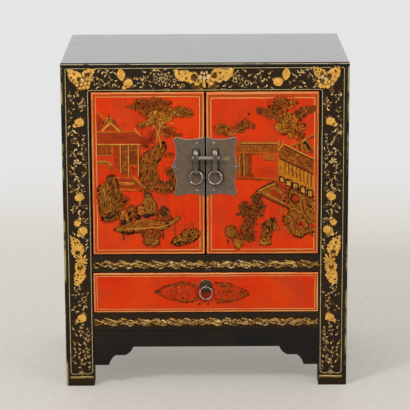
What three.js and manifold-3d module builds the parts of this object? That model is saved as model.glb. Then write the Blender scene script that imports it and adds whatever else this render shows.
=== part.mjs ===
// Lacquered side cabinet: two doors over one drawer, on posts that run down to the floor.
// Millimetres, +Z up, front towards -Y, origin on the floor under the middle of the whole piece.
import * as THREE from 'three';
import { mergeVertices } from 'three/addons/utils/BufferGeometryUtils.js';
import Module from 'manifold-3d';

const wasm = await Module();
wasm.setup();

// Overall size
const cabinetWidth = 540;
const cabinetDepth = 365;
const cabinetHeight = 630;

// Top board
const topThickness = 9;
const topEdgeRound = 2.5;

// Posts
const frontPostWidth = 54;
const frontPostDepth = 42;
const rearPostWidth = 42;
const rearPostDepth = 42;
const cornerBead = 3;
const quirk = 1.2;

// Rails, from the top down, and what stands between them
const topRailHeight = 44;
const middleRailHeight = 33.5;
const bottomRailHeight = 33;
const drawerOpeningHeight = 81;
const frontRailDepth = 30;
const sideRailThickness = 24;
const rearRailThickness = 24;
const tenonLength = 16;
const tenonThickness = 12;
const tenonShoulder = 5;

// Panels in their grooves
const sidePanelThickness = 8;
const backPanelThickness = 6;
const panelRecess = 6;
const backPanelRecess = 9;
const grooveDepth = 8;
const grooveShoulder = 1;

// Aprons
const apronHeight = 35;
const apronThickness = 18;
const apronSetback = 2.5;
const legClearHeight = 77.5;
const bracketDrop = 36.5;
const bracketFootWidth = 28.5;
const coveWidth = 13.7;
const coveHeight = 19.8;
const ledgeWidth = 17.7;
const ovoloWidth = 15.8;
const curveEasing = 4.5;

// Boards inside
const floorThickness = 10;
const shelfThickness = 12;
const shelfHeightAboveFloor = 152;
const shelfSetback = 60;
const cleatWidth = 20;
const cleatHeight = 12;
const bearerWidth = 24;
const bearerHeight = 22;
const stopHeight = 8;
const stopDepth = 11.5;
const stopGap = 0.5;
const stopEndClearance = 3;

// Doors
const doorThickness = 18;
const doorSideGap = 2;
const doorEndGap = 2;
const doorCentreGap = 3.6;
const doorHingeRound = 5;
const frontEdgeRound = 2;
const pivotInset = 9;
const pivotRadius = 3;
const pivotDepthInDoor = 14;
const pivotDepthInRail = 9;

// Lock plate, in two halves
const plateThickness = 1.2;
const plateHalfHeight = 57;
const plateCornerX = 60;
const plateCuspX = 63;
const plateClip = 5.5;
const plateTopScallop = 4.8;
const plateSideScallop = 6.5;
const lockAboveDoorMiddle = 14;
const nailHeadRadius = 1.4;
const nailHeadHeight = 0.8;
const nailShankRadius = 0.8;
const nailLength = 9;
const nailInnerX = 15.8;
const nailInnerZ = 45.5;
const nailCuspX = 57.5;

// Lock posts, pin and rings
const lockPostX = 18;
const lockPostWidth = 8;
const lockPostStand = 14;
const lockPostHeight = 44;
const lockPostLow = -12;
const lockPostTopRound = 7;
const lockPostFootRound = 2.5;
const eyeStand = 7.5;
const eyeAboveFoot = 4.6;
const pinAboveFoot = 29.5;
const pinRadius = 4.3;
const pinLeftReach = 26;
const pinRightReach = 27.5;
const pinEndChamfer = 0.9;
const ringEyeRadius = 2.5;
const ringRadius = 12.5;
const ringWireRadius = 1.5;
const tangWidth = 4;
const tangHeight = 6;
const tangAboveFoot = 14;
const clinchLength = 12;
const clinchThickness = 1.5;

// Drawer
const drawerGap = 1.5;
const drawerFrontThickness = 18;
const drawerSideThickness = 10;
const drawerSideHeight = 64;
const drawerBackThickness = 10;
const drawerBottomThickness = 5;
const drawerBottomRise = 9;
const drawerGrooveDepth = 4;
const runnerWidth = 42;
const runnerHeight = 20;
const guideThickness = 14;
const guideHeight = 22;
const guideGap = 0.8;

// Drawer pull
const pullAboveCentre = 12.5;
const pullPlateRadius = 13.5;
const pullPlateEdge = 0.8;
const pullPlateDome = 1.4;
const pullPlateHole = 3.3;
const pullEyeStand = 6.5;
const pullEyeRadius = 4.2;
const pullEyeHole = 2;
const pullEyeWidth = 3.6;
const pullTangHeight = 4.4;
const pullRingRadius = 12;
const pullRingWireRadius = 1.4;

// Clearances and working values
const play = 0.3;
const overrun = 4;
const mergeTolerance = 0.0001;

// Counts of facets
const curveSegments = 8;
const roundSegments = 24;
const holeSegments = 16;
const nailSegments = 8;
const wireSegments = 8;
const ringSegments = 32;

// Heights above the floor
const apronLow = legClearHeight;
const bottomRailLow = apronLow + apronHeight;
const bottomRailTop = bottomRailLow + bottomRailHeight;
const middleRailLow = bottomRailTop + drawerOpeningHeight;
const middleRailTop = middleRailLow + middleRailHeight;
const topRailTop = cabinetHeight - topThickness;
const topRailLow = topRailTop - topRailHeight;

// Places across and along the frame, from the middle and from the front face
const halfWidth = cabinetWidth / 2;
const openingHalf = halfWidth - frontPostWidth;
const rearOpeningHalf = halfWidth - rearPostWidth;
const rearPostFront = cabinetDepth - rearPostDepth;
const betweenPosts = [frontPostDepth, rearPostFront];
const sidePanelOuter = halfWidth - panelRecess;
const sidePanelInner = sidePanelOuter - sidePanelThickness;
const backPanelBack = cabinetDepth - backPanelRecess;
const backPanelFront = backPanelBack - backPanelThickness;
const hardwareStand = plateThickness + lockPostStand;
const frontFace = hardwareStand / 2 - cabinetDepth / 2;

// Materials
const finishes = {
  blackLacquer: { color: 0x211e1b, roughness: 0.35, metalness: 0 },
  redLacquer: { color: 0xd63c18, roughness: 0.35, metalness: 0 },
  bareWood: { color: 0x9a7a55, roughness: 0.8, metalness: 0 },
  darkSteel: { color: 0x6b6157, roughness: 0.5, metalness: 0.8 },
  brightSteel: { color: 0xb5a99a, roughness: 0.35, metalness: 0.9 },
};

function piece(name, finish, shape) {
  const geometry = shape.isBufferGeometry ? shape : geometryFrom(shape);
  const mesh = new THREE.Mesh(geometry, new THREE.MeshStandardMaterial(finishes[finish]));
  mesh.name = name;
  return mesh;
}

// Turning geometry into solids for cutting, and back
function solidFrom(geometry) {
  const bare = geometry.clone();
  bare.deleteAttribute('normal');
  bare.deleteAttribute('uv');
  const merged = mergeVertices(bare, mergeTolerance);
  const vertProperties = new Float32Array(merged.attributes.position.array);
  const triVerts = new Uint32Array(merged.index.array);
  return new wasm.Manifold(new wasm.Mesh({ numProp: 3, vertProperties, triVerts }));
}

function geometryFrom(solid) {
  const mesh = solid.getMesh();
  const geometry = new THREE.BufferGeometry();
  geometry.setAttribute('position', new THREE.BufferAttribute(mesh.vertProperties, 3));
  geometry.setIndex(new THREE.BufferAttribute(mesh.triVerts, 1));
  geometry.computeVertexNormals();
  return geometry;
}

function cut(geometry, ...tools) {
  return tools.reduce((solid, tool) => solid.subtract(solidFrom(tool)), solidFrom(geometry));
}

function join(geometry, ...others) {
  return others.reduce((solid, other) => solid.add(solidFrom(other)), solidFrom(geometry));
}

// Spans and basic shapes
function span(a, b) {
  return [Math.min(a, b), Math.max(a, b)];
}

function grown([low, high], by) {
  return [low - by, high + by];
}

function centred(middle, size) {
  return [middle - size / 2, middle + size / 2];
}

function box([xLow, xHigh], [yLow, yHigh], [zLow, zHigh]) {
  const geometry = new THREE.BoxGeometry(xHigh - xLow, yHigh - yLow, zHigh - zLow);
  return geometry.translate((xLow + xHigh) / 2, (yLow + yHigh) / 2, (zLow + zHigh) / 2);
}

function extruded(shape, length) {
  return new THREE.ExtrudeGeometry(shape, { depth: length, bevelEnabled: false, curveSegments });
}

// A shape drawn in X and Y, raised along Z
function prismAlongZ(shape, [low, high]) {
  return extruded(shape, high - low).translate(0, 0, low);
}

// A shape drawn in X and Z, carried along Y
function prismAlongY(shape, [low, high]) {
  return extruded(shape, high - low).rotateX(Math.PI / 2).translate(0, high, 0);
}

// A shape drawn in Y and Z, carried along X
function prismAlongX(shape, [low, high]) {
  const turn = new THREE.Matrix4().makeBasis(
    new THREE.Vector3(0, 1, 0),
    new THREE.Vector3(0, 0, 1),
    new THREE.Vector3(1, 0, 0),
  );
  return extruded(shape, high - low).applyMatrix4(turn).translate(low, 0, 0);
}

function rodAlongX(radius, [low, high], y, z, segments = roundSegments) {
  const geometry = new THREE.CylinderGeometry(radius, radius, high - low, segments);
  return geometry.rotateZ(Math.PI / 2).translate((low + high) / 2, y, z);
}

function rodAlongY(radius, [low, high], x, z, segments = roundSegments) {
  const geometry = new THREE.CylinderGeometry(radius, radius, high - low, segments);
  return geometry.translate(x, (low + high) / 2, z);
}

function rodAlongZ(radius, [low, high], x, y, segments = roundSegments) {
  const geometry = new THREE.CylinderGeometry(radius, radius, high - low, segments);
  return geometry.rotateX(Math.PI / 2).translate(x, y, (low + high) / 2);
}

function outline(points) {
  return new THREE.Shape(points.map(([x, y]) => new THREE.Vector2(x, y)));
}

// Rails: heights, and the tenons that the posts' mortises follow
const topRailSpan = [topRailLow, topRailTop];
const middleRailSpan = [middleRailLow, middleRailTop];
const bottomRailSpan = [bottomRailLow, bottomRailTop];
const plainShoulders = [tenonShoulder, tenonShoulder];
const grooveBelow = [grooveDepth + grooveShoulder, tenonShoulder];
const grooveAbove = [tenonShoulder, grooveDepth + grooveShoulder];

function shouldered([low, high], [lowShoulder, highShoulder]) {
  return [low + lowShoulder, high - highShoulder];
}

function crossTenon(side, half, thicknessMiddle, heights, extra) {
  const reach = span(side * (half - overrun), side * (half + tenonLength + extra));
  return box(reach, grown(centred(thicknessMiddle, tenonThickness), extra), grown(heights, extra));
}

function sideTenon(side, end, heights, extra) {
  const middle = side * (halfWidth - sideRailThickness / 2);
  const thickness = grown(centred(middle, tenonThickness), extra);
  const frontReach = [frontPostDepth - tenonLength - extra, frontPostDepth + overrun];
  const rearReach = [rearPostFront - overrun, rearPostFront + tenonLength + extra];
  return box(thickness, end === 'front' ? frontReach : rearReach, grown(heights, extra));
}

const frontTenonMiddle = frontRailDepth / 2;
const rearTenonMiddle = cabinetDepth - rearRailThickness / 2;
const frontTenonHeights = [topRailSpan, middleRailSpan, bottomRailSpan].map(
  (heights) => shouldered(heights, plainShoulders),
);
const panelledTenonHeights = [
  shouldered(topRailSpan, grooveBelow),
  shouldered(bottomRailSpan, grooveAbove),
];

// Panels
const panelHeights = [bottomRailTop - grooveDepth, topRailLow + grooveDepth];

function sidePanel(side, extra) {
  const thickness = span(side * sidePanelInner, side * sidePanelOuter);
  return box(grown(thickness, extra), grown(betweenPosts, grooveDepth + extra), grown(panelHeights, extra));
}

function backPanel(extra) {
  const width = centred(0, (rearOpeningHalf + grooveDepth) * 2);
  return box(grown(width, extra), grown([backPanelFront, backPanelBack], extra), grown(panelHeights, extra));
}

// Posts
function frontPostOutline(side) {
  const inner = openingHalf;
  const beadEdge = halfWidth - cornerBead;
  const corner = Array.from({ length: curveSegments + 1 }, (_, step) => {
    const angle = (step / curveSegments) * (Math.PI / 2);
    return [beadEdge + cornerBead * Math.sin(angle), cornerBead - cornerBead * Math.cos(angle)];
  });
  const points = [
    [inner, 0],
    [beadEdge - quirk, 0],
    [beadEdge - quirk, quirk],
    [beadEdge, quirk],
    ...corner,
    [halfWidth - quirk, cornerBead],
    [halfWidth - quirk, cornerBead + quirk],
    [halfWidth, cornerBead + quirk],
    [halfWidth, frontPostDepth],
    [inner, frontPostDepth],
  ];
  return outline(points.map(([x, y]) => [side * x, y]));
}

function frontPost(name, side) {
  const blank = prismAlongZ(frontPostOutline(side), [0, topRailTop]);
  const solid = cut(
    blank,
    ...frontTenonHeights.map((heights) => crossTenon(side, openingHalf, frontTenonMiddle, heights, play)),
    ...panelledTenonHeights.map((heights) => sideTenon(side, 'front', heights, play)),
    sidePanel(side, play),
  );
  return piece(name, 'blackLacquer', solid);
}

function rearPost(name, side) {
  const across = span(side * rearOpeningHalf, side * halfWidth);
  const solid = cut(
    box(across, [rearPostFront, cabinetDepth], [0, topRailTop]),
    ...panelledTenonHeights.map((heights) => crossTenon(side, rearOpeningHalf, rearTenonMiddle, heights, play)),
    ...panelledTenonHeights.map((heights) => sideTenon(side, 'rear', heights, play)),
    sidePanel(side, play),
    backPanel(play),
  );
  return piece(name, 'blackLacquer', solid);
}

// Rails
const pivotX = openingHalf - doorSideGap - pivotInset;

function pivotHoles(zSpan) {
  return [-1, 1].map((side) => rodAlongZ(pivotRadius + play, zSpan, side * pivotX, pivotInset));
}

function frontRail(name, heights, tenonHeights, holes) {
  const bar = box([-openingHalf, openingHalf], [0, frontRailDepth], heights);
  const tenons = [-1, 1].map((side) => crossTenon(side, openingHalf, frontTenonMiddle, tenonHeights, 0));
  const solid = holes.reduce((rest, hole) => rest.subtract(solidFrom(hole)), join(bar, ...tenons));
  return piece(name, 'blackLacquer', solid);
}

function rearRail(name, heights, tenonHeights) {
  const bar = box([-rearOpeningHalf, rearOpeningHalf], [cabinetDepth - rearRailThickness, cabinetDepth], heights);
  const tenons = [-1, 1].map((side) => crossTenon(side, rearOpeningHalf, rearTenonMiddle, tenonHeights, 0));
  return piece(name, 'blackLacquer', join(bar, ...tenons).subtract(solidFrom(backPanel(play))));
}

function sideRail(name, side, heights, tenonHeights) {
  const thickness = span(side * (halfWidth - sideRailThickness), side * halfWidth);
  const tenons = ['front', 'rear'].map((end) => sideTenon(side, end, tenonHeights, 0));
  const bar = join(box(thickness, betweenPosts, heights), ...tenons);
  return piece(name, 'blackLacquer', bar.subtract(solidFrom(sidePanel(side, play))));
}

// Apron: a straight middle, an ovolo, a ledge, a cove and a foot at each end
function apronOutline(half, railLow) {
  const ledgeHeight = railLow - apronHeight - (bracketDrop - coveHeight);
  const footHeight = ledgeHeight - coveHeight;
  const middleHeight = railLow - apronHeight;
  const footEnd = half - bracketFootWidth;
  const coveEnd = footEnd - coveWidth;
  const ledgeEnd = coveEnd - ledgeWidth;
  const ovoloEnd = ledgeEnd - ovoloWidth;
  const coveTurn = footEnd - curveEasing;
  const coveBend = ledgeHeight - curveEasing;
  const ovoloTurn = ovoloEnd + curveEasing;
  const ovoloBend = ledgeHeight + curveEasing;
  const shape = new THREE.Shape();
  shape.moveTo(-half, railLow);
  shape.lineTo(-half, footHeight);
  shape.lineTo(-footEnd, footHeight);
  shape.quadraticCurveTo(-coveTurn, coveBend, -coveEnd, ledgeHeight);
  shape.lineTo(-ledgeEnd, ledgeHeight);
  shape.quadraticCurveTo(-ovoloTurn, ovoloBend, -ovoloEnd, middleHeight);
  shape.lineTo(ovoloEnd, middleHeight);
  shape.quadraticCurveTo(ovoloTurn, ovoloBend, ledgeEnd, ledgeHeight);
  shape.lineTo(coveEnd, ledgeHeight);
  shape.quadraticCurveTo(coveTurn, coveBend, footEnd, footHeight);
  shape.lineTo(half, footHeight);
  shape.lineTo(half, railLow);
  return shape;
}

function frontApron() {
  const depths = [apronSetback, apronSetback + apronThickness];
  return piece('front_apron', 'blackLacquer', prismAlongY(apronOutline(openingHalf, bottomRailLow), depths));
}

function sideApron(name, side) {
  const outer = halfWidth - apronSetback;
  const [front, rear] = betweenPosts;
  const shape = apronOutline((rear - front) / 2, bottomRailLow);
  const thickness = span(side * (outer - apronThickness), side * outer);
  return piece(name, 'blackLacquer', prismAlongX(shape, thickness).translate(0, (front + rear) / 2, 0));
}

// Top board with a rounded edge
function topBoard() {
  const inset = topEdgeRound;
  const shape = outline([
    [-halfWidth + inset, inset],
    [halfWidth - inset, inset],
    [halfWidth - inset, cabinetDepth - inset],
    [-halfWidth + inset, cabinetDepth - inset],
  ]);
  const geometry = new THREE.ExtrudeGeometry(shape, {
    depth: topThickness - 2 * topEdgeRound,
    bevelEnabled: true,
    bevelThickness: topEdgeRound,
    bevelSize: topEdgeRound,
    bevelSegments: curveSegments / 2,
    curveSegments,
  });
  return piece('top_board', 'blackLacquer', geometry.translate(0, 0, topRailTop + topEdgeRound));
}

// Boards inside, notched round the posts
const boardHalf = sidePanelInner - play;
const boardRear = backPanelFront - play;

function mirroredOutline(rightSide) {
  const leftSide = rightSide.map(([x, y]) => [-x, y]).reverse();
  return outline([...rightSide, ...leftSide]);
}

function rearNotch() {
  return [
    [boardHalf, rearPostFront - play],
    [rearOpeningHalf - play, rearPostFront - play],
    [rearOpeningHalf - play, boardRear],
  ];
}

function cupboardFloor() {
  const shape = mirroredOutline([
    [openingHalf - play, frontRailDepth],
    [openingHalf - play, frontPostDepth + play],
    [boardHalf, frontPostDepth + play],
    ...rearNotch(),
  ]);
  return piece('cupboard_floor', 'bareWood', prismAlongZ(shape, [middleRailTop - floorThickness, middleRailTop]));
}

const shelfLow = middleRailTop + shelfHeightAboveFloor;

function shelf() {
  const shape = mirroredOutline([[boardHalf, shelfSetback], ...rearNotch()]);
  return piece('shelf', 'bareWood', prismAlongZ(shape, [shelfLow, shelfLow + shelfThickness]));
}

function barByPanel(name, side, width, [low, high]) {
  const across = span(side * (sidePanelInner - width), side * sidePanelInner);
  return piece(name, 'bareWood', box(across, betweenPosts, [low, high]));
}

const drawerHalf = openingHalf - drawerGap;

function drawerRunner(name, side) {
  const outer = halfWidth - sideRailThickness;
  const across = span(side * (outer - runnerWidth), side * outer);
  return piece(name, 'bareWood', box(across, betweenPosts, [bottomRailTop - runnerHeight, bottomRailTop]));
}

function drawerGuide(name, side) {
  const inner = drawerHalf + guideGap;
  const across = span(side * inner, side * (inner + guideThickness));
  return piece(name, 'bareWood', box(across, betweenPosts, [bottomRailTop, bottomRailTop + guideHeight]));
}

function doorStop() {
  const doorSweep = Math.hypot(pivotInset, doorThickness - pivotInset);
  const half = pivotX - doorSweep - stopEndClearance;
  const depths = [doorThickness + stopGap, doorThickness + stopGap + stopDepth];
  return piece('door_stop', 'bareWood', box([-half, half], depths, [topRailLow - stopHeight, topRailLow]));
}

function carcase() {
  const group = new THREE.Group();
  const [topTenon, middleTenon, bottomTenon] = frontTenonHeights;
  const [topPanelTenon, bottomPanelTenon] = panelledTenonHeights;
  const upperHoles = pivotHoles([topRailLow - overrun, topRailLow + pivotDepthInRail + play]);
  const lowerHoles = pivotHoles([middleRailTop - pivotDepthInRail - play, middleRailTop + overrun]);
  group.add(
    topBoard(),
    frontRail('front_top_rail', topRailSpan, topTenon, upperHoles),
    frontRail('front_middle_rail', middleRailSpan, middleTenon, lowerHoles),
    frontRail('front_bottom_rail', bottomRailSpan, bottomTenon, []),
    rearRail('rear_top_rail', topRailSpan, topPanelTenon),
    rearRail('rear_bottom_rail', bottomRailSpan, bottomPanelTenon),
    piece('back_panel', 'blackLacquer', backPanel(0)),
    frontApron(),
    cupboardFloor(),
    shelf(),
    doorStop(),
  );
  for (const [word, side] of [['left', -1], ['right', 1]]) {
    group.add(
      frontPost(`front_${word}_post`, side),
      rearPost(`rear_${word}_post`, side),
      sideRail(`${word}_top_rail`, side, topRailSpan, topPanelTenon),
      sideRail(`${word}_bottom_rail`, side, bottomRailSpan, bottomPanelTenon),
      piece(`${word}_side_panel`, 'blackLacquer', sidePanel(side, 0)),
      sideApron(`${word}_apron`, side),
      barByPanel(`${word}_floor_bearer`, side, bearerWidth, [
        middleRailTop - floorThickness - bearerHeight,
        middleRailTop - floorThickness,
      ]),
      barByPanel(`${word}_shelf_cleat`, side, cleatWidth, [shelfLow - cleatHeight, shelfLow]),
      drawerRunner(`${word}_drawer_runner`, side),
      drawerGuide(`${word}_drawer_guide`, side),
    );
  }
  return group;
}

// A board whose front edges are rounded: its plan gives the upright edges, its section the other two
function boardPlan([xLow, xHigh], [yFront, yBack], lowRound, highRound) {
  const shape = new THREE.Shape();
  shape.moveTo(xLow + lowRound, yFront);
  shape.lineTo(xHigh - highRound, yFront);
  shape.absarc(xHigh - highRound, yFront + highRound, highRound, -Math.PI / 2, 0, false);
  shape.lineTo(xHigh, yBack);
  shape.lineTo(xLow, yBack);
  shape.lineTo(xLow, yFront + lowRound);
  shape.absarc(xLow + lowRound, yFront + lowRound, lowRound, Math.PI, Math.PI * 1.5, false);
  return shape;
}

function boardSection([yFront, yBack], [zLow, zHigh], round) {
  const shape = new THREE.Shape();
  shape.moveTo(yFront, zLow + round);
  shape.absarc(yFront + round, zLow + round, round, Math.PI, Math.PI * 1.5, false);
  shape.lineTo(yBack, zLow);
  shape.lineTo(yBack, zHigh);
  shape.lineTo(yFront + round, zHigh);
  shape.absarc(yFront + round, zHigh - round, round, Math.PI / 2, Math.PI, false);
  return shape;
}

function roundedBoard(xSpan, ySpan, zSpan, lowRound, highRound) {
  const upright = solidFrom(prismAlongZ(boardPlan(xSpan, ySpan, lowRound, highRound), zSpan));
  const flat = solidFrom(prismAlongX(boardSection(ySpan, zSpan, frontEdgeRound), grown(xSpan, overrun)));
  return upright.intersect(flat);
}

// Doors: each group stands on its pivot axis, at the foot of the door
const doorWidth = openingHalf - doorSideGap - doorCentreGap / 2;
const doorLow = middleRailTop + doorEndGap;
const doorHeight = topRailLow - doorEndGap - doorLow;
const lockHeight = doorHeight / 2 + lockAboveDoorMiddle;
const doorFaces = [-pivotInset, doorThickness - pivotInset];

function doorPanel(name, side) {
  const across = span(side * pivotInset, side * (pivotInset - doorWidth));
  const rounds = side < 0 ? [doorHingeRound, frontEdgeRound] : [frontEdgeRound, doorHingeRound];
  const holeSpans = [
    [-overrun, pivotDepthInDoor + play],
    [doorHeight - pivotDepthInDoor - play, doorHeight + overrun],
  ];
  const holes = [
    ...holeSpans.map((reach) => rodAlongZ(pivotRadius + play, reach, 0, 0)),
    ...lockCuts(side).map((tool) => tool.translate(-side * pivotX, -pivotInset, lockHeight)),
  ];
  const board = roundedBoard(across, doorFaces, [0, doorHeight], ...rounds);
  return piece(name, 'redLacquer', holes.reduce((rest, hole) => rest.subtract(solidFrom(hole)), board));
}

function pivot(name, [low, high]) {
  return piece(name, 'darkSteel', rodAlongZ(pivotRadius, [low, high], 0, 0));
}

// Lock: X from the middle of the cabinet, Y from the door's face, Z from the middle of the plate
const nailPlaces = [
  ['upper', nailInnerX, nailInnerZ],
  ['outer', nailCuspX, 0],
  ['lower', nailInnerX, -nailInnerZ],
];
const plateFaces = [-plateThickness, 0];
const tangLow = lockPostLow + tangAboveFoot;
const lockEyeZ = lockPostLow + eyeAboveFoot;
const lockEyeY = -plateThickness - eyeStand;

function tang(side, extra, ySpan) {
  const across = grown(centred(side * lockPostX, tangWidth), extra);
  return box(across, ySpan, grown([tangLow, tangLow + tangHeight], extra));
}

function lockCuts(side) {
  const through = [-hardwareStand, doorThickness + overrun];
  const nailReach = [-hardwareStand, nailLength - plateThickness + play];
  return [
    tang(side, play, through),
    ...nailPlaces.map(([, x, z]) => rodAlongY(nailShankRadius + play, nailReach, side * x, z, nailSegments)),
  ];
}

function plateOutline(side) {
  const split = doorCentreGap / 2;
  const clipX = plateCornerX - plateClip;
  const clipZ = plateHalfHeight - plateClip;
  const valleyX = (split + clipX) / 2;
  const valleyZ = plateHalfHeight - plateTopScallop * 2;
  const waistX = (plateCornerX + plateCuspX) / 2 - plateSideScallop * 2;
  const shape = new THREE.Shape();
  shape.moveTo(side * split, plateHalfHeight);
  shape.quadraticCurveTo(side * valleyX, valleyZ, side * clipX, plateHalfHeight);
  shape.lineTo(side * plateCornerX, clipZ);
  shape.quadraticCurveTo(side * waistX, clipZ / 2, side * plateCuspX, 0);
  shape.quadraticCurveTo(side * waistX, -clipZ / 2, side * plateCornerX, -clipZ);
  shape.lineTo(side * clipX, -plateHalfHeight);
  shape.quadraticCurveTo(side * valleyX, -valleyZ, side * split, -plateHalfHeight);
  return shape;
}

function lockPlate(name, side) {
  return piece(name, 'darkSteel', cut(prismAlongY(plateOutline(side), plateFaces), ...lockCuts(side)));
}

function nail() {
  const dome = Array.from({ length: nailSegments / 2 }, (_, step) => {
    const angle = (step / (nailSegments / 2)) * (Math.PI / 2);
    return new THREE.Vector2(nailHeadRadius * Math.sin(angle), -nailHeadHeight * Math.cos(angle));
  });
  const profile = [
    ...dome,
    new THREE.Vector2(nailHeadRadius, 0),
    new THREE.Vector2(nailShankRadius, 0),
    new THREE.Vector2(nailShankRadius, nailLength),
    new THREE.Vector2(0, nailLength),
  ];
  return new THREE.LatheGeometry(profile, nailSegments);
}

function plateNails(word, side) {
  return nailPlaces.map(([place, x, z]) => {
    const mesh = piece(`${word}_${place}_nail`, 'brightSteel', nail());
    mesh.position.set(side * x, -plateThickness, z);
    return mesh;
  });
}

function lockPost(name, side) {
  const back = -plateThickness;
  const front = -plateThickness - lockPostStand;
  const high = lockPostLow + lockPostHeight;
  const shape = new THREE.Shape();
  shape.moveTo(back, lockPostLow);
  shape.lineTo(back, high);
  shape.lineTo(front + lockPostTopRound, high);
  shape.absarc(front + lockPostTopRound, high - lockPostTopRound, lockPostTopRound, Math.PI / 2, Math.PI, false);
  shape.lineTo(front, lockPostLow + lockPostFootRound);
  shape.absarc(
    front + lockPostFootRound,
    lockPostLow + lockPostFootRound,
    lockPostFootRound,
    Math.PI,
    Math.PI * 1.5,
    false,
  );
  const across = centred(side * lockPostX, lockPostWidth);
  const holeReach = grown(across, overrun);
  const shank = tang(side, 0, [back - overrun, doorThickness + play + clinchThickness]);
  const clinch = box(
    centred(side * lockPostX, tangWidth),
    [doorThickness + play, doorThickness + play + clinchThickness],
    [tangLow - clinchLength, tangLow + tangHeight],
  );
  const solid = join(prismAlongX(shape, across), shank, clinch)
    .subtract(solidFrom(rodAlongX(pinRadius + play, holeReach, lockEyeY, lockPostLow + pinAboveFoot)))
    .subtract(solidFrom(rodAlongX(ringEyeRadius, holeReach, lockEyeY, lockEyeZ, holeSegments)));
  return piece(name, 'darkSteel', solid);
}

function lockPin() {
  const profile = [
    new THREE.Vector2(0, -pinLeftReach),
    new THREE.Vector2(pinRadius - pinEndChamfer, -pinLeftReach),
    new THREE.Vector2(pinRadius, -pinLeftReach + pinEndChamfer),
    new THREE.Vector2(pinRadius, pinRightReach - pinEndChamfer),
    new THREE.Vector2(pinRadius - pinEndChamfer, pinRightReach),
    new THREE.Vector2(0, pinRightReach),
  ];
  const geometry = new THREE.LatheGeometry(profile, roundSegments).rotateZ(-Math.PI / 2);
  const mesh = piece('lock_pin', 'darkSteel', geometry);
  mesh.position.set(0, lockEyeY, lockPostLow + pinAboveFoot);
  return mesh;
}

// A ring hangs from its eye, in the plane of the front
function hangingRing(name, radius, wireRadius, [x, y, z]) {
  const geometry = new THREE.TorusGeometry(radius, wireRadius, wireSegments, ringSegments);
  const mesh = piece(name, 'brightSteel', geometry.rotateX(Math.PI / 2));
  mesh.position.set(x, y, z - radius);
  return mesh;
}

function lockHalf(word, side) {
  const group = new THREE.Group();
  group.position.set(-side * pivotX, -pivotInset, lockHeight);
  group.add(
    lockPlate(`${word}_lock_plate`, side),
    ...plateNails(word, side),
    lockPost(`${word}_lock_post`, side),
    hangingRing(`${word}_pull_ring`, ringRadius, ringWireRadius, [side * lockPostX, lockEyeY, lockEyeZ]),
  );
  return group;
}

function door(word, side) {
  const group = new THREE.Group();
  group.position.set(side * pivotX, pivotInset, doorLow);
  const lock = lockHalf(word, side);
  group.add(
    doorPanel(`${word}_door_panel`, side),
    pivot(`${word}_door_lower_pivot`, [-doorEndGap - pivotDepthInRail, pivotDepthInDoor]),
    pivot(`${word}_door_upper_pivot`, [
      doorHeight - pivotDepthInDoor,
      doorHeight + doorEndGap + pivotDepthInRail,
    ]),
    lock,
  );
  if (side > 0) {
    lock.add(lockPin());
  }
  return group;
}

// Drawer: the group stands on the rail, in the middle of the front face
const drawerFrontLow = drawerGap;
const drawerFrontHigh = drawerOpeningHeight - drawerGap;
const drawerSideSpan = [play, play + drawerSideHeight];
const drawerSideInner = drawerHalf - drawerSideThickness;
const drawerRear = backPanelFront - play;
const drawerBottomSpan = [play + drawerBottomRise, play + drawerBottomRise + drawerBottomThickness];

function drawerBottom(extra) {
  const across = centred(0, (drawerSideInner + drawerGrooveDepth) * 2);
  const along = [drawerFrontThickness - drawerGrooveDepth, drawerRear];
  return box(grown(across, extra), grown(along, extra), grown(drawerBottomSpan, extra));
}

const pullZ = (drawerFrontLow + drawerFrontHigh) / 2 + pullAboveCentre;

function pullTang(extra, ySpan) {
  return box(grown(centred(0, pullEyeWidth), extra), ySpan, grown(centred(pullZ, pullTangHeight), extra));
}

function drawerFront() {
  const board = roundedBoard(
    [-drawerHalf, drawerHalf],
    [0, drawerFrontThickness],
    [drawerFrontLow, drawerFrontHigh],
    frontEdgeRound,
    frontEdgeRound,
  );
  const solid = board
    .subtract(solidFrom(drawerBottom(play)))
    .subtract(solidFrom(pullTang(play, [-overrun, drawerFrontThickness + overrun])));
  return piece('drawer_front', 'redLacquer', solid);
}

function drawerSide(name, side) {
  const across = span(side * drawerSideInner, side * drawerHalf);
  const board = box(across, [drawerFrontThickness, drawerRear], drawerSideSpan);
  return piece(name, 'bareWood', cut(board, drawerBottom(play)));
}

function drawerBack() {
  const heights = [drawerBottomSpan[1] + play, drawerSideSpan[1]];
  const along = [drawerRear - drawerBackThickness, drawerRear];
  return piece('drawer_back', 'bareWood', box([-drawerSideInner, drawerSideInner], along, heights));
}

function pullPlate() {
  const profile = [
    new THREE.Vector2(pullPlateHole, -pullPlateEdge - pullPlateDome),
    ...Array.from({ length: curveSegments }, (_, step) => {
      const share = (step + 1) / curveSegments;
      const radius = pullPlateHole + (pullPlateRadius - pullPlateHole) * share;
      return new THREE.Vector2(radius, -pullPlateEdge - pullPlateDome * (1 - share * share));
    }),
    new THREE.Vector2(pullPlateRadius, 0),
    new THREE.Vector2(pullPlateHole, 0),
    new THREE.Vector2(pullPlateHole, -pullPlateEdge - pullPlateDome),
  ];
  const mesh = piece('drawer_pull_plate', 'darkSteel', new THREE.LatheGeometry(profile, roundSegments));
  mesh.position.set(0, 0, pullZ);
  return mesh;
}

function pullEye() {
  const across = centred(0, pullEyeWidth);
  const head = rodAlongX(pullEyeRadius, across, -pullEyeStand, pullZ);
  const behind = drawerFrontThickness + play;
  const shank = pullTang(0, [-pullEyeStand, behind + clinchThickness]);
  const clinch = box(across, [behind, behind + clinchThickness], [pullZ - clinchLength, pullZ + pullTangHeight / 2]);
  const hole = rodAlongX(pullEyeHole, grown(across, overrun), -pullEyeStand, pullZ, holeSegments);
  return piece('drawer_pull_eye', 'darkSteel', join(head, shank, clinch).subtract(solidFrom(hole)));
}

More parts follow.
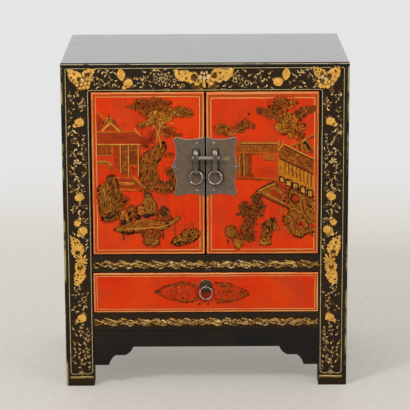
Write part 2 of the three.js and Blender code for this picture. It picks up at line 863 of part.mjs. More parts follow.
function drawer() {
  const group = new THREE.Group();
  group.position.set(0, 0, bottomRailTop);
  group.add(
    drawerFront(),
    drawerSide('drawer_left_side', -1),
    drawerSide('drawer_right_side', 1),
    drawerBack(),
    piece('drawer_bottom', 'bareWood', drawerBottom(0)),
    pullPlate(),
    pullEye(),
    hangingRing('drawer_pull_ring', pullRingRadius, pullRingWireRadius, [0, -pullEyeStand, pullZ]),
  );
  return group;
}

const cabinet = new THREE.Group();
cabinet.position.set(0, frontFace, 0);
cabinet.add(carcase(), door('left', -1), door('right', 1), drawer());

export default cabinet;
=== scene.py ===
"""Lacquered side cabinet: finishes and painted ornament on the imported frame, with camera, light and floor."""

import cmath
import math
import random

import bpy
from mathutils import Matrix, Vector


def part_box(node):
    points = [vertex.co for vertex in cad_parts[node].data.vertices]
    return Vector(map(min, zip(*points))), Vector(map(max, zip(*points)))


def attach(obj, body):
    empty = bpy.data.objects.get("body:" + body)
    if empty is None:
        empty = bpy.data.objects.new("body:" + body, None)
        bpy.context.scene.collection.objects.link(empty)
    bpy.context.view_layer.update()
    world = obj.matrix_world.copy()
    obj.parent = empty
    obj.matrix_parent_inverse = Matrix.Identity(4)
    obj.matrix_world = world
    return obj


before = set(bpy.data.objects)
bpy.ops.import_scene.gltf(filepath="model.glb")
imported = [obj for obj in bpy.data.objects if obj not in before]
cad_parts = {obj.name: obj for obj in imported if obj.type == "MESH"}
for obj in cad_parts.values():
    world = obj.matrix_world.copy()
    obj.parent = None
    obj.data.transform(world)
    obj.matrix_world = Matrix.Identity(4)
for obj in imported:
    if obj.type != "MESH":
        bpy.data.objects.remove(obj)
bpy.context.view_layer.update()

# Drawing is done in millimetres, and meshes are made in metres
MM = 0.001
WHITE = (1, 1, 1, 1)


def place(node):
    """A CAD node's lowest and highest corner, in millimetres."""
    low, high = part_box(node)
    return low / MM, high / MM


# Places taken from the frame
post_low, post_high = place("front_right_post")
board_low, board_high = place("top_board")
top_low, top_high = place("front_top_rail")
middle_low, middle_high = place("front_middle_rail")
bottom_low, bottom_high = place("front_bottom_rail")
FACE = post_low.y
HALF_WIDTH = post_high.x
OPENING = post_low.x

# Camera: solved from the corners of the cabinet in the photo
IMAGE = 410
SENSOR = 36.0
FOCAL_PIXELS = 2016.51
CAMERA_ACROSS, CAMERA_BACK, CAMERA_HEIGHT = -3.51, 3713.30, 1232.85
PITCH, YAW, ROLL = math.radians(13.259), math.radians(0.037), math.radians(-0.272)


def new_object(name, data):
    made = bpy.data.objects.new(name, data)
    bpy.context.scene.collection.objects.link(made)
    return made


def make_camera():
    data = bpy.data.cameras.new("camera")
    data.sensor_width = SENSOR
    data.lens = FOCAL_PIXELS / IMAGE * SENSOR
    camera = new_object("camera", data)
    ahead = Vector((math.sin(YAW) * math.cos(PITCH), math.cos(YAW) * math.cos(PITCH), -math.sin(PITCH)))
    level = Vector((math.cos(YAW), -math.sin(YAW), 0))
    upward = level.cross(ahead)
    right = level * math.cos(ROLL) + upward * math.sin(ROLL)
    up = upward * math.cos(ROLL) - level * math.sin(ROLL)
    camera.location = Vector((CAMERA_ACROSS, FACE - CAMERA_BACK, CAMERA_HEIGHT)) * MM
    camera.rotation_mode = "QUATERNION"
    camera.rotation_quaternion = Matrix((right, up, -ahead)).transposed().to_quaternion()
    bpy.context.scene.camera = camera


# Colours are written as they show on a screen
def srgb(red, green, blue):
    """A written colour as the linear one that a shader takes."""
    shares = [channel / 255 for channel in (red, green, blue)]
    return tuple(s / 12.92 if s <= 0.04045 else ((s + 0.055) / 1.055) ** 2.4 for s in shares) + (1.0,)


# The Mix node has a set of sockets for each kind of value, and these are the ones for colours
MIX_FACTOR, MIX_FIRST, MIX_SECOND, MIX_RESULT = 0, 6, 7, 2
BEVEL_SAMPLES = 6


class Nodes:
    """A node tree, and the nodes that are added to it."""

    def __init__(self, tree):
        self.tree = tree

    def put(self, socket, value):
        if isinstance(value, bpy.types.NodeSocket):
            self.tree.links.new(value, socket)
        else:
            socket.default_value = value

    def add(self, kind, inputs=None, **settings):
        made = self.tree.nodes.new("ShaderNode" + kind)
        for key, value in settings.items():
            setattr(made, key, value)
        for key, value in (inputs or {}).items():
            self.put(made.inputs[key], value)
        return made

    def sum(self, operation, *values):
        made = self.add("Math", operation=operation)
        for socket, value in zip(made.inputs, values):
            self.put(socket, value)
        return made.outputs["Value"]

    def times(self, first, second):
        return self.sum("MULTIPLY", first, second)

    def minus(self, first, second):
        return self.sum("SUBTRACT", first, second)

    def less(self, first, second):
        return self.sum("LESS_THAN", first, second)

    def more(self, first, second):
        return self.sum("GREATER_THAN", first, second)


class Shader(Nodes):
    """One material, whose tones are laid over each other by masks."""

    def __init__(self, name):
        self.material = bpy.data.materials.new(name)
        self.material.use_nodes = True
        super().__init__(self.material.node_tree)
        self.surface = self.tree.nodes["Principled BSDF"]
        self.place = self.add("TexCoord").outputs["Object"]

    def noise(self, scale, stretch=(1, 1, 1), detail=3.0, rough=0.5):
        """Soft noise, with so many grains to the metre."""
        moved = self.add("Mapping", {"Vector": self.place, "Scale": stretch}).outputs["Vector"]
        settings = {"Vector": moved, "Scale": scale, "Detail": detail, "Roughness": rough}
        return self.add("TexNoise", settings).outputs["Fac"]

    def between(self, value, low, high, to_low=0.0, to_high=1.0):
        """A value's place between two bounds, held to them."""
        settings = {"Value": value, "From Min": low, "From Max": high, "To Min": to_low, "To Max": to_high}
        return self.add("MapRange", settings).outputs["Result"]

    def patches(self, scale, low, high, to_low=0.0, to_high=1.0, **grain):
        """A mask of soft patches: noise, held between two bounds."""
        return self.between(self.noise(scale, **grain), low, high, to_low, to_high)

    def millimetres(self):
        """The shaded point's place: across, depth and height."""
        parts = self.add("SeparateXYZ", {"Vector": self.place}).outputs
        return [self.sum("DIVIDE", parts[axis], MM) for axis in "XYZ"]

    def mix(self, factor, first, second, blend="MIX"):
        made = self.add("Mix", data_type="RGBA", blend_type=blend)
        for index, value in ((MIX_FACTOR, factor), (MIX_FIRST, first), (MIX_SECOND, second)):
            self.put(made.inputs[index], value)
        return made.outputs[MIX_RESULT]

    def tint(self, colour, mask, share, tone):
        """Lays a tone over a colour, as strongly as a mask says and at most by a share."""
        return self.mix(self.times(mask, share), colour, tone)

    def ramp(self, factor, *stops):
        made = self.add("ValToRGB", {"Fac": factor})
        elements = made.color_ramp.elements
        elements.remove(elements[0])
        for number, (position, colour) in enumerate(stops):
            element = elements[0] if number == 0 else elements.new(position)
            element.position = position
            element.color = colour
        return made.outputs["Color"]

    def worn_edge(self, radius):
        """A softened normal at sharp edges, and how strongly a point lies on one."""
        soft = self.add("Bevel", {"Radius": radius * MM}, samples=BEVEL_SAMPLES).outputs["Normal"]
        flat = self.add("NewGeometry").outputs["Normal"]
        turned = self.add("VectorMath", {0: soft, 1: flat}, operation="DOT_PRODUCT")
        return soft, self.minus(1.0, turned.outputs["Value"])

    def bump(self, height, depth, normal=None):
        settings = {"Height": height, "Distance": depth * MM, "Strength": 1.0}
        if normal is not None:
            settings["Normal"] = normal
        self.put(self.surface.inputs["Normal"], self.add("Bump", settings).outputs["Normal"])

    def finish(self, colour, rough, **constants):
        self.put(self.surface.inputs["Base Color"], colour)
        self.put(self.surface.inputs["Roughness"], rough)
        for name, value in constants.items():
            self.surface.inputs[name.replace("_", " ")].default_value = value
        return self.material


# Lacquer. Patches are given as grains to the metre and two bounds, and some also by the values at them
BLACK, BLACK_WARM, BLACK_WORN = srgb(20, 18, 16), srgb(34, 26, 17), srgb(140, 116, 72)
BLACK_GLAZED = srgb(40, 24, 2)
BLACK_CLOUDS, BLACK_RUBS, BLACK_GLAZE = (14, 0.42, 0.66), (45, 0.42, 0.6), (34, 0.32, 0.58, 0.3, 1.0)
BLACK_GLOSS, BLACK_EDGE, BLACK_ROUNDING = (24, 0.3, 0.7, 0.33, 0.35), (0.05, 0.2), 1.2
BEAD_GILT, BOARD_LINE_HIGHLIGHT = srgb(172, 160, 108), srgb(208, 192, 152)
BEAD_WIDTH, BEAD_DEPTH, BEAD_KEPT = 3.9, 4.2, (38, 0.48, 0.58)
LINE_DROP, LINE_HEIGHT, LINE_DEPTH, LINE_KEPT = 2.0, 1.2, 1.0, (30, 0.34, 0.48)


def black_lacquer():
    """Black lacquer with gilt beads on the front corners and a thin gilt line on the top board's front, painted
    pale as the highlight of its rounded edge.
    """
    s = Shader("black_lacquer")
    soft, edge = s.worn_edge(BLACK_ROUNDING)
    colour = s.mix(s.patches(*BLACK_CLOUDS, detail=4), BLACK, BLACK_WARM)
    rubbed = s.times(s.between(edge, *BLACK_EDGE), s.patches(*BLACK_RUBS, detail=5, rough=0.7))
    colour = s.mix(rubbed, colour, BLACK_WORN)
    across, depth, height = s.millimetres()
    outward = s.sum("ABSOLUTE", across)
    at_front = s.less(depth, FACE + BEAD_DEPTH)
    below_board = s.less(height, board_low.z)
    gilded = s.sum("MAXIMUM", s.more(outward, OPENING), s.more(height, bottom_low.z))
    glaze = s.times(gilded, s.patches(*BLACK_GLAZE, detail=5, rough=0.6))
    colour = s.mix(s.times(glaze, s.times(at_front, below_board)), colour, BLACK_GLAZED)
    at_corner = s.more(outward, HALF_WIDTH - BEAD_WIDTH)
    bead = s.times(s.times(at_front, at_corner), below_board)
    kept = s.patches(*BEAD_KEPT, stretch=(1, 1, 0.35), detail=5, rough=0.7)
    colour = s.tint(colour, bead, kept, BEAD_GILT)
    # Gilt line on the top board's rounded front edge, painted pale as its highlight
    from_top = s.minus(board_high.z - LINE_DROP, height)
    in_line = s.times(s.more(from_top, 0.0), s.less(from_top, LINE_HEIGHT))
    line = s.times(in_line, s.less(depth, board_low.y + LINE_DEPTH))
    colour = s.tint(colour, line, s.patches(*LINE_KEPT, detail=5, rough=0.7), BOARD_LINE_HIGHLIGHT)
    rough = s.patches(*BLACK_GLOSS, detail=3)
    s.bump(s.noise(520, detail=2), 0.01, soft)
    return s.finish(colour, rough, Specular_IOR_Level=0.3)


# Painted shadow and dirt round a hanging ring: the drifts move the mark down and aside, as a cast shadow falls
RING_SHADOW_DRIFT, PULL_SHADOW_DRIFT, RING_SPREAD, RING_RIM = Vector((1.4, 0, -1.2)), Vector((-2.6, 0, -0.8)), 1.0, 0.6
RING_SHADE_AND_DIRT = (60, 0.25, 0.5, 0.55, 1.0)


def ring_shadow_and_dirt(s, ring, reach, drift, inside=False):
    """How strongly a point lies in the painted shadow and dirt round a hanging ring and, if asked, inside it.
    """
    low, high = place(ring)
    middle, radius = (low + high) / 2 + drift, (high.x - low.x) / 2 + RING_SPREAD
    across, depth, height = s.millimetres()
    beside, above = s.minus(across, middle.x), s.minus(height, middle.z)
    squared = s.sum("ADD", s.times(beside, beside), s.times(above, above))
    away = s.minus(s.sum("SQRT", squared), radius)
    if not inside:
        away = s.sum("ABSOLUTE", away)
    return s.times(s.between(away, reach, RING_RIM), s.patches(*RING_SHADE_AND_DIRT, detail=4))


RED, RED_DEEP, RED_LIGHT, RED_SPECK = srgb(226, 52, 1), srgb(200, 42, 2), srgb(232, 74, 5), srgb(110, 26, 6)
RED_DULL, RED_STAIN, RED_SHADOW_AND_GRIME = srgb(186, 58, 26), srgb(142, 36, 6), srgb(52, 15, 4)
RED_STREAKS, RED_CLOUDS, RED_FADING = (210, 0.3, 0.72), (11, 0.36, 0.68), (21, 0.46, 0.68)
RED_STAINS, RED_SPECKS, RED_GLOSS = (70, 0.68, 0.76), (330, 0.7, 0.76), (60, 0.3, 0.7, 0.28, 0.46)
RED_ROUNDING, GRAIN_DEPTH, PULL_SHADOW_DIRT_REACH = 0.8, 0.06, 7.6

# Bands of paint round a red panel, each tone with how far in from the edge it starts. The light band at the
# very edge is also a painted highlight of the rounded edge, brighter on the drawer
EDGE_LIGHT, EDGE_BROWN, EDGE_DARK = srgb(230, 144, 80), srgb(184, 74, 12), srgb(134, 50, 6)
EDGE_LINE, EDGE_RIM, DRAWER_LIGHT = srgb(238, 166, 96), srgb(110, 36, 8), srgb(244, 162, 96)
DOOR_BANDS = [
    (0.0, EDGE_RIM), (0.8, EDGE_LIGHT), (3.2, EDGE_LIGHT), (4.4, EDGE_DARK), (5.6, EDGE_BROWN),
    (7.2, EDGE_BROWN), (7.9, EDGE_DARK), (8.4, EDGE_LINE), (9.3, EDGE_LINE), (10.0, RED_DEEP), (12.0, RED),
]
DRAWER_BANDS = [
    (0.0, EDGE_RIM), (0.6, DRAWER_LIGHT), (2.6, DRAWER_LIGHT), (3.4, EDGE_DARK), (4.6, EDGE_BROWN),
    (5.6, EDGE_DARK), (6.0, EDGE_LINE), (6.6, EDGE_LINE), (7.4, RED_DEEP), (9.0, RED),
]
BAND_KEPT, BAND_END, BAND_DEPTH, BAND_FADE = (16, 0.34, 0.6, 0.5, 1.0), 0.96, 3, 1
BAND_WANDER = 2.0
WIDE_TOP_SHARE = 0.74


def border_distance(s, low, high, top_share):
    """How far a point lies in from its panel's nearest edge, in millimetres; the top may count for less."""
    across, depth, height = s.millimetres()
    sides = s.sum("MINIMUM", s.minus(across, low.x), s.minus(high.x, across))
    below_top = s.times(s.minus(high.z, height), top_share)
    ends = s.sum("MINIMUM", s.minus(height, low.z), below_top)
    wander = s.times(s.minus(s.noise(55, detail=4), 0.5), BAND_WANDER)
    return s.sum("ADD", s.sum("MINIMUM", sides, ends), wander), depth


def red_lacquer(name, low, high):
    """Red lacquer over a wood grain, with painted bands round its front."""
    s = Shader(f"{name}_lacquer")
    on_drawer = name == "drawer_front"
    bands, grain = (DRAWER_BANDS, (0.06, 1, 1)) if on_drawer else (DOOR_BANDS, (1, 1, 0.06))
    soft, edge = s.worn_edge(RED_ROUNDING)
    colour = s.mix(s.patches(*RED_STREAKS, stretch=grain, detail=5, rough=0.6), RED_DEEP, RED)
    colour = s.tint(colour, s.patches(*RED_CLOUDS, detail=4), 0.6, RED_LIGHT)
    colour = s.tint(colour, s.patches(*RED_FADING, detail=5, rough=0.6), 0.7, RED_DULL)
    colour = s.tint(colour, s.patches(*RED_STAINS, detail=2), 0.5, RED_STAIN)
    if on_drawer:
        # Painted shadow and grime round and inside the drawer's ring
        shadow_and_grime = ring_shadow_and_dirt(s, "drawer_pull_ring", PULL_SHADOW_DIRT_REACH, PULL_SHADOW_DRIFT, inside=True)
        colour = s.tint(colour, shadow_and_grime, 0.62, RED_SHADOW_AND_GRIME)
    distance, depth = border_distance(s, low, high, WIDE_TOP_SHARE if name.startswith("right") else 1.0)
    reach = bands[-1][0]
    share = s.sum("DIVIDE", distance, reach)
    painted = s.ramp(share, *[(start / reach, tone) for start, tone in bands])
    at_front = s.between(depth, FACE + BAND_DEPTH + BAND_FADE, FACE + BAND_DEPTH)
    shown = s.times(at_front, s.minus(1.0, s.between(share, BAND_END, 1.0)))
    colour = s.tint(colour, shown, s.patches(*BAND_KEPT, detail=5, rough=0.65), painted)
    colour = s.tint(colour, s.patches(*RED_SPECKS, detail=2), 0.55, RED_SPECK)
    rough = s.patches(*RED_GLOSS, detail=4)
    s.bump(s.noise(230, stretch=grain, detail=4), GRAIN_DEPTH, soft)
    return s.finish(colour, rough, Specular_IOR_Level=0.15)


# Wood and metal
WOOD, WOOD_DARK, WOOD_LIGHT = srgb(158, 122, 82), srgb(116, 84, 52), srgb(182, 148, 106)
WOOD_GRAIN, WOOD_BANDS, ALONG_GRAIN = (150, 0.32, 0.68), (26, 0.35, 0.65), 0.04
STEEL, STEEL_DARK, STEEL_BROWN = srgb(128, 113, 98), srgb(94, 82, 71), srgb(130, 98, 66)
BRIGHT, RING_BRIGHT, RING_DARK = srgb(232, 226, 212), srgb(208, 196, 180), srgb(112, 96, 78)
PIN, PIN_DARK = srgb(170, 162, 150), srgb(128, 119, 108)
GRIME_AND_SHADOW, BRASS, POST_DARK = srgb(34, 28, 20), srgb(170, 142, 92), srgb(82, 70, 57)
PULL_DARK, PULL_BROWN, PULL_RIM = srgb(52, 36, 16), srgb(88, 66, 34), srgb(212, 196, 166)
STEEL_PITS, PIT_DEPTH = 420, 0.05
# Grime and painted shadow round a lock post and its ring, drifted right and down as a cast shadow falls
SHADOW_GRIME_REACH, SHADOW_GRIME_RIM, SHADOW_DRIFT, RING_SHADOW_DIRT_REACH = 5.4, 0.6, Vector((1.1, 0, -0.6)), 2.8
RUB_STARTS, RUB_LENGTH, RUB_HEIGHT, RUB_DROP = 13.0, 15.0, 6.8, 2.6
RUB_EDGE, RUB_UNEVEN = (1.2, -1.6), (160, 0.3, 0.6, 0.35, 0.85)
# How far below a lock post's top its painted highlight starts and where it is full
POST_HIGHLIGHT_DROP, POST_TOP = 9.0, 1.5


def bare_wood(name, along):
    """Bare wood with its grain along one axis."""
    s = Shader(name)
    stretch = tuple(ALONG_GRAIN if axis == along else 1.0 for axis in range(3))
    grain = s.patches(*WOOD_GRAIN, stretch=stretch, detail=6, rough=0.65)
    bands = s.patches(*WOOD_BANDS, stretch=stretch, detail=3)
    colour = s.tint(s.mix(grain, WOOD_DARK, WOOD), bands, 0.6, WOOD_LIGHT)
    s.bump(grain, 0.08)
    return s.finish(colour, 0.72, Specular_IOR_Level=0.3)


def box_distance(s, low, high):
    """How far outside a box a point lies, seen from the front, in millimetres."""
    across, depth, height = s.millimetres()
    middle, half = (low + high) / 2, (high - low) / 2
    beside = s.minus(s.sum("ABSOLUTE", s.minus(across, middle.x)), half.x)
    above = s.minus(s.sum("ABSOLUTE", s.minus(height, middle.z)), half.z)
    return s.sum("MAXIMUM", beside, above)


def brown_steel(s, mottle, fine, brown, share):
    """Dark steel with brown clouds and a fine grain, and the mottling that made it."""
    mottled = s.patches(*mottle, detail=6, rough=0.65)
    colour = s.tint(s.mix(mottled, STEEL_DARK, STEEL), s.patches(*brown, detail=4), share, STEEL_BROWN)
    return s.tint(colour, s.patches(*fine, detail=3), 0.25, STEEL), mottled


def pitted(s, soft):
    s.bump(s.noise(STEEL_PITS, detail=4), PIT_DEPTH, soft)


def plate_steel(name):
    """A lock plate's brown steel: a rim rubbed bright and painted as a highlight, grime and painted shadow
    round its post and ring and, on the right one, a rubbed patch.
    """
    s = Shader(name + "_steel")
    soft, edge = s.worn_edge(1.5)
    colour, mottled = brown_steel(s, (90, 0.32, 0.68), (700, 0.3, 0.7), (30, 0.42, 0.66), 0.7)
    low, high = place(name.replace("plate", "post"))
    # Grime and painted shadow round the post, moved right and down
    shadow_and_grime = s.between(box_distance(s, low + SHADOW_DRIFT, high + SHADOW_DRIFT), SHADOW_GRIME_REACH, SHADOW_GRIME_RIM)
    colour = s.tint(colour, shadow_and_grime, 0.92, GRIME_AND_SHADOW)
    # Grime and painted shadow round the hanging ring
    ring = ring_shadow_and_dirt(s, name.replace("lock_plate", "pull_ring"), RING_SHADOW_DIRT_REACH, RING_SHADOW_DRIFT)
    colour = s.tint(colour, ring, 0.7, GRIME_AND_SHADOW)
    if name.startswith("right"):
        pin_low, pin_high = place("lock_pin")
        middle = (pin_low.z + pin_high.z) / 2 - RUB_DROP
        start = (low.x + high.x) / 2 + RUB_STARTS
        patch_low = Vector((start, 0, middle - RUB_HEIGHT / 2))
        patch_high = Vector((start + RUB_LENGTH, 0, middle + RUB_HEIGHT / 2))
        rub = s.between(box_distance(s, patch_low, patch_high), *RUB_EDGE)
        colour = s.tint(colour, rub, s.patches(*RUB_UNEVEN, stretch=(1, 1, 0.25), detail=4), BRASS)
    # Rim made bright and glossy: rubbing, and a painted highlight on the edge
    rim = s.between(edge, 0.03, 0.14)
    pitted(s, soft)
    return s.finish(s.mix(rim, colour, BRIGHT), s.between(rim, 0.0, 1.0, 0.46, 0.3), Metallic=0.55)


def dark_steel():
    s = Shader("dark_steel")
    soft, edge = s.worn_edge(0.7)
    colour, mottled = brown_steel(s, (120, 0.32, 0.68), (900, 0.35, 0.65), (38, 0.5, 0.68), 0.6)
    colour = s.mix(s.between(edge, 0.04, 0.16), colour, BRIGHT)
    pitted(s, soft)
    return s.finish(colour, s.between(mottled, 0.0, 1.0, 0.5, 0.38), Metallic=0.6)


def bright_steel(name="bright_steel", dark=RING_DARK, light=RING_BRIGHT):
    s = Shader(name)
    mottled = s.patches(240, 0.35, 0.68, detail=4)
    s.bump(s.noise(700, detail=3), 0.03)
    return s.finish(s.mix(mottled, dark, light), s.between(mottled, 0.0, 1.0, 0.42, 0.26), Metallic=0.7)


def post_steel():
    """The lock posts' steel, painted brighter towards the top as a highlight, with worn edges."""
    s = Shader("post_steel")
    soft, edge = s.worn_edge(0.8)
    top = place("right_lock_post")[1].z
    across, depth, height = s.millimetres()
    # Painted highlight: the top of the post is made brighter and glossier, as if catching the light
    rise = s.between(height, top - POST_HIGHLIGHT_DROP, top - POST_TOP)
    mottled = s.patches(260, 0.34, 0.66, stretch=(1, 1, 0.3), detail=5, rough=0.6)
    rubbed = s.sum("MAXIMUM", s.times(rise, mottled), s.between(edge, 0.08, 0.3))
    colour = s.mix(rubbed, s.mix(mottled, POST_DARK, STEEL), BRIGHT)
    pitted(s, soft)
    return s.finish(colour, s.between(rubbed, 0.0, 1.0, 0.48, 0.3), Metallic=0.6)


def pull_steel():
    """The drawer pull's brown plate with a rubbed rim."""
    s = Shader("pull_steel")
    soft, edge = s.worn_edge(1.1)
    colour = s.mix(s.patches(200, 0.34, 0.66, detail=5, rough=0.65), PULL_DARK, PULL_BROWN)
    pitted(s, soft)
    return s.finish(s.mix(s.between(edge, 0.03, 0.12), colour, PULL_RIM), 0.42, Metallic=0.5)


def dress_frame():
    """Gives every CAD node the finish of its kind."""
    by_slot = {"black_lacquer": black_lacquer(), "dark_steel": dark_steel(), "bright_steel": bright_steel()}
    post, pull = post_steel(), pull_steel()
    by_kind = {
        "left_lock_post": post,
        "right_lock_post": post,
        "lock_pin": bright_steel("pin_steel", PIN_DARK, PIN),
        "drawer_pull_plate": pull,
    }
    nail = bright_steel("nail_steel", PIN, BRIGHT)
    woods = [bare_wood(f"bare_wood_{axis}", number) for number, axis in enumerate("xyz")]
    for name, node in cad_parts.items():
        low, high = place(name)
        slot = node.data.materials[0].name.split(".")[0]
        if slot == "red_lacquer":
            finish = red_lacquer(name, low, high)
        elif slot == "bare_wood":
            size = high - low
            finish = woods[list(size).index(max(size))]
        elif name.endswith("_lock_plate"):
            finish = plate_steel(name)
        elif name.endswith("_nail"):
            finish = nail
        else:
            finish = by_kind.get(name) or by_slot[slot]
        for index in range(len(node.data.materials)):
            node.data.materials[index] = finish


# Light, floor and background
FLOOR_NEAR, FLOOR_UNSEEN = srgb(208, 203, 194), srgb(150, 146, 138)
FLOOR_REACH = 40.0
FLOOR_GRAIN = (60, 0.3, 0.7, 0.96, 1.03)
SHADOW_LIFT = 0.4
BACKGROUND_SHOWN = srgb(229, 229, 229)
FADE_FROM, FADE_TO = 0.9, 2.0
WORLD_STRENGTH = 0.7
# Each lamp: where it stands, where it points, its size and its power
LAMPS = {
    "key": ((-1.8, -2.2, 2.6), (0, 0, 0.35), 0.7, 62),
    "fill": ((2.2, -2.6, 1.6), (0, 0, 0.3), 2.2, 22),
    "rim": ((0, 2.6, 1.4), (0, 0, 0.6), 3.2, 34),
}


def floor_finish():
    """A pale floor, greyer for reflected light, that fades to the background away from the object."""
    s = Shader("floor")
    rays = s.add("LightPath").outputs
    near = s.mix(rays["Is Camera Ray"], FLOOR_UNSEEN, FLOOR_NEAR)
    near = s.mix(1.0, near, s.patches(*FLOOR_GRAIN, detail=5), blend="MULTIPLY")
    distance = s.add("VectorMath", {0: s.place}, operation="LENGTH").outputs["Value"]
    fade = {"Value": distance, "From Min": FADE_FROM, "From Max": FADE_TO}
    smooth_fade = s.add("MapRange", fade, interpolation_type="SMOOTHSTEP").outputs["Result"]
    faded = s.times(smooth_fade, rays["Is Camera Ray"])
    s.finish(near, 0.8, Specular_IOR_Level=0.2)
    glow = s.add("Emission", {"Color": near, "Strength": 1.0}).outputs["Emission"]
    softened = s.times(SHADOW_LIFT, rays["Is Camera Ray"])
    ground = s.add("MixShader", {0: softened, 1: s.surface.outputs["BSDF"], 2: glow}).outputs["Shader"]
    background = s.add("Emission", {"Color": BACKGROUND_SHOWN, "Strength": 1.0}).outputs["Emission"]
    mixed = s.add("MixShader", {0: faded, 1: ground, 2: background}).outputs["Shader"]
    s.put(s.tree.nodes["Material Output"].inputs["Surface"], mixed)
    return s.material


def make_floor():
    mesh = bpy.data.meshes.new("floor")
    corners = [(-FLOOR_REACH, -FLOOR_REACH, 0), (FLOOR_REACH, -FLOOR_REACH, 0)]
    corners += [(FLOOR_REACH, FLOOR_REACH, 0), (-FLOOR_REACH, FLOOR_REACH, 0)]
    mesh.from_pydata(corners, [], [(0, 1, 2, 3)])
    floor = new_object("floor", mesh)
    floor.data.materials.append(floor_finish())


def make_world():
    """Plain white light, with the background's grey for the camera and for reflections."""
    world = bpy.data.worlds.new("studio")
    bpy.context.scene.world = world
    world.use_nodes = True
    s = Nodes(world.node_tree)
    s.tree.nodes.clear()
    rays = s.add("LightPath").outputs
    seen = s.sum("MAXIMUM", rays["Is Camera Ray"], rays["Is Glossy Ray"])
    lighting = s.add("Background", {"Color": WHITE, "Strength": WORLD_STRENGTH}).outputs["Background"]
    shown = s.add("Background", {"Color": BACKGROUND_SHOWN, "Strength": 1.0}).outputs["Background"]
    mixed = s.add("MixShader", {"Fac": seen, 1: lighting, 2: shown}).outputs["Shader"]
    s.add("OutputWorld", {"Surface": mixed})


def make_lamp(name, where, target, size, power):
    data = bpy.data.lights.new(name, "AREA")
    data.shape = "DISK"
    data.size = size
    data.energy = power
    lamp = new_object(name, data)
    lamp.location = where
    lamp.rotation_mode = "QUATERNION"
    lamp.rotation_quaternion = (Vector(target) - Vector(where)).to_track_quat("-Z", "Y")
    lamp.visible_camera = False


def make_light():
    bpy.context.scene.view_settings.view_transform = "Standard"
    make_world()
    for name, lamp in LAMPS.items():
        make_lamp(name, *lamp)


# Tones of the paint
GOLD, AMBER, PALE, DIM = srgb(236, 176, 78), srgb(200, 142, 52), srgb(222, 192, 128), srgb(142, 110, 60)
BROWN, RUST = srgb(92, 58, 18), srgb(110, 42, 14)
LINE_TONE, STRAW = srgb(220, 202, 142), srgb(228, 190, 126)
PAINT_WORN, TAN = srgb(150, 122, 92), srgb(208, 158, 88)

# Drawing tools: painted shapes are thin raised bodies, and a point is across + height * 1j
COAT = 0.12
SUNK = 0.08
STEP = 0.9
SPAN_STEPS = 12
TIP = 0.14
NEAREST = 1e-6
TONE_SPREAD = 0.07
ROUND_CORNERS, CLUMP_CORNERS, OVAL_CORNERS = 12, 7, 11
SPIRAL_STEPS, SPIRAL_LEFT = 9, 0.2
CIRCLE = 6.28
chance = random.Random(7)


def smooth(points, closed=False):
    """A smooth line through some points, with a place about every step."""
    count = len(points)
    if count < 3:
        return list(points)
    line = []
    for index in range(count if closed else count - 1):
        if closed:
            before, here, there, after = (points[(index + shift) % count] for shift in (-1, 0, 1, 2))
        else:
            before, here = points[max(index - 1, 0)], points[index]
            there, after = points[index + 1], points[min(index + 2, count - 1)]
        steps = max(2, min(SPAN_STEPS, math.ceil(abs(there - here) / STEP)))
        for step in range(steps):
            t = step / steps
            line.append(0.5 * (
                2 * here + (there - before) * t
                + (2 * before - 5 * here + 4 * there - after) * t ** 2
                + (3 * here - before - 3 * there + after) * t ** 3
            ))
    return line if closed else line + [points[-1]]


def brush(profile, share):
    """A brush stroke's width along its length, as a share of its full width."""
    if profile == "even":
        return 1.0
    if profile == "both":
        return max(TIP, math.sin(math.pi * share) ** 0.7)
    return max(TIP, min(1.0, share / 0.12 + 0.35) * (1 - share) ** 0.75)


def gilt_paint():
    """Gold and brown paint that takes each stroke's tone from its mesh, a little rubbed."""
    s = Shader("gilt_paint")
    tone = s.add("Attribute", attribute_name="paint").outputs["Color"]
    worn = s.patches(240, 0.54, 0.7, 0.0, 0.6, detail=5, rough=0.7)
    colour = s.mix(1.0, tone, s.patches(110, 0.32, 0.68, 0.76, 1.14, detail=5), blend="MULTIPLY")
    colour = s.mix(worn, colour, s.mix(1.0, colour, PAINT_WORN, blend="MULTIPLY"))
    s.bump(s.noise(600, detail=3), 0.04)
    roughness = s.patches(180, 0.3, 0.7, 0.34, 0.5, detail=3)
    return s.finish(colour, roughness, Metallic=0.1, Specular_IOR_Level=0.2)


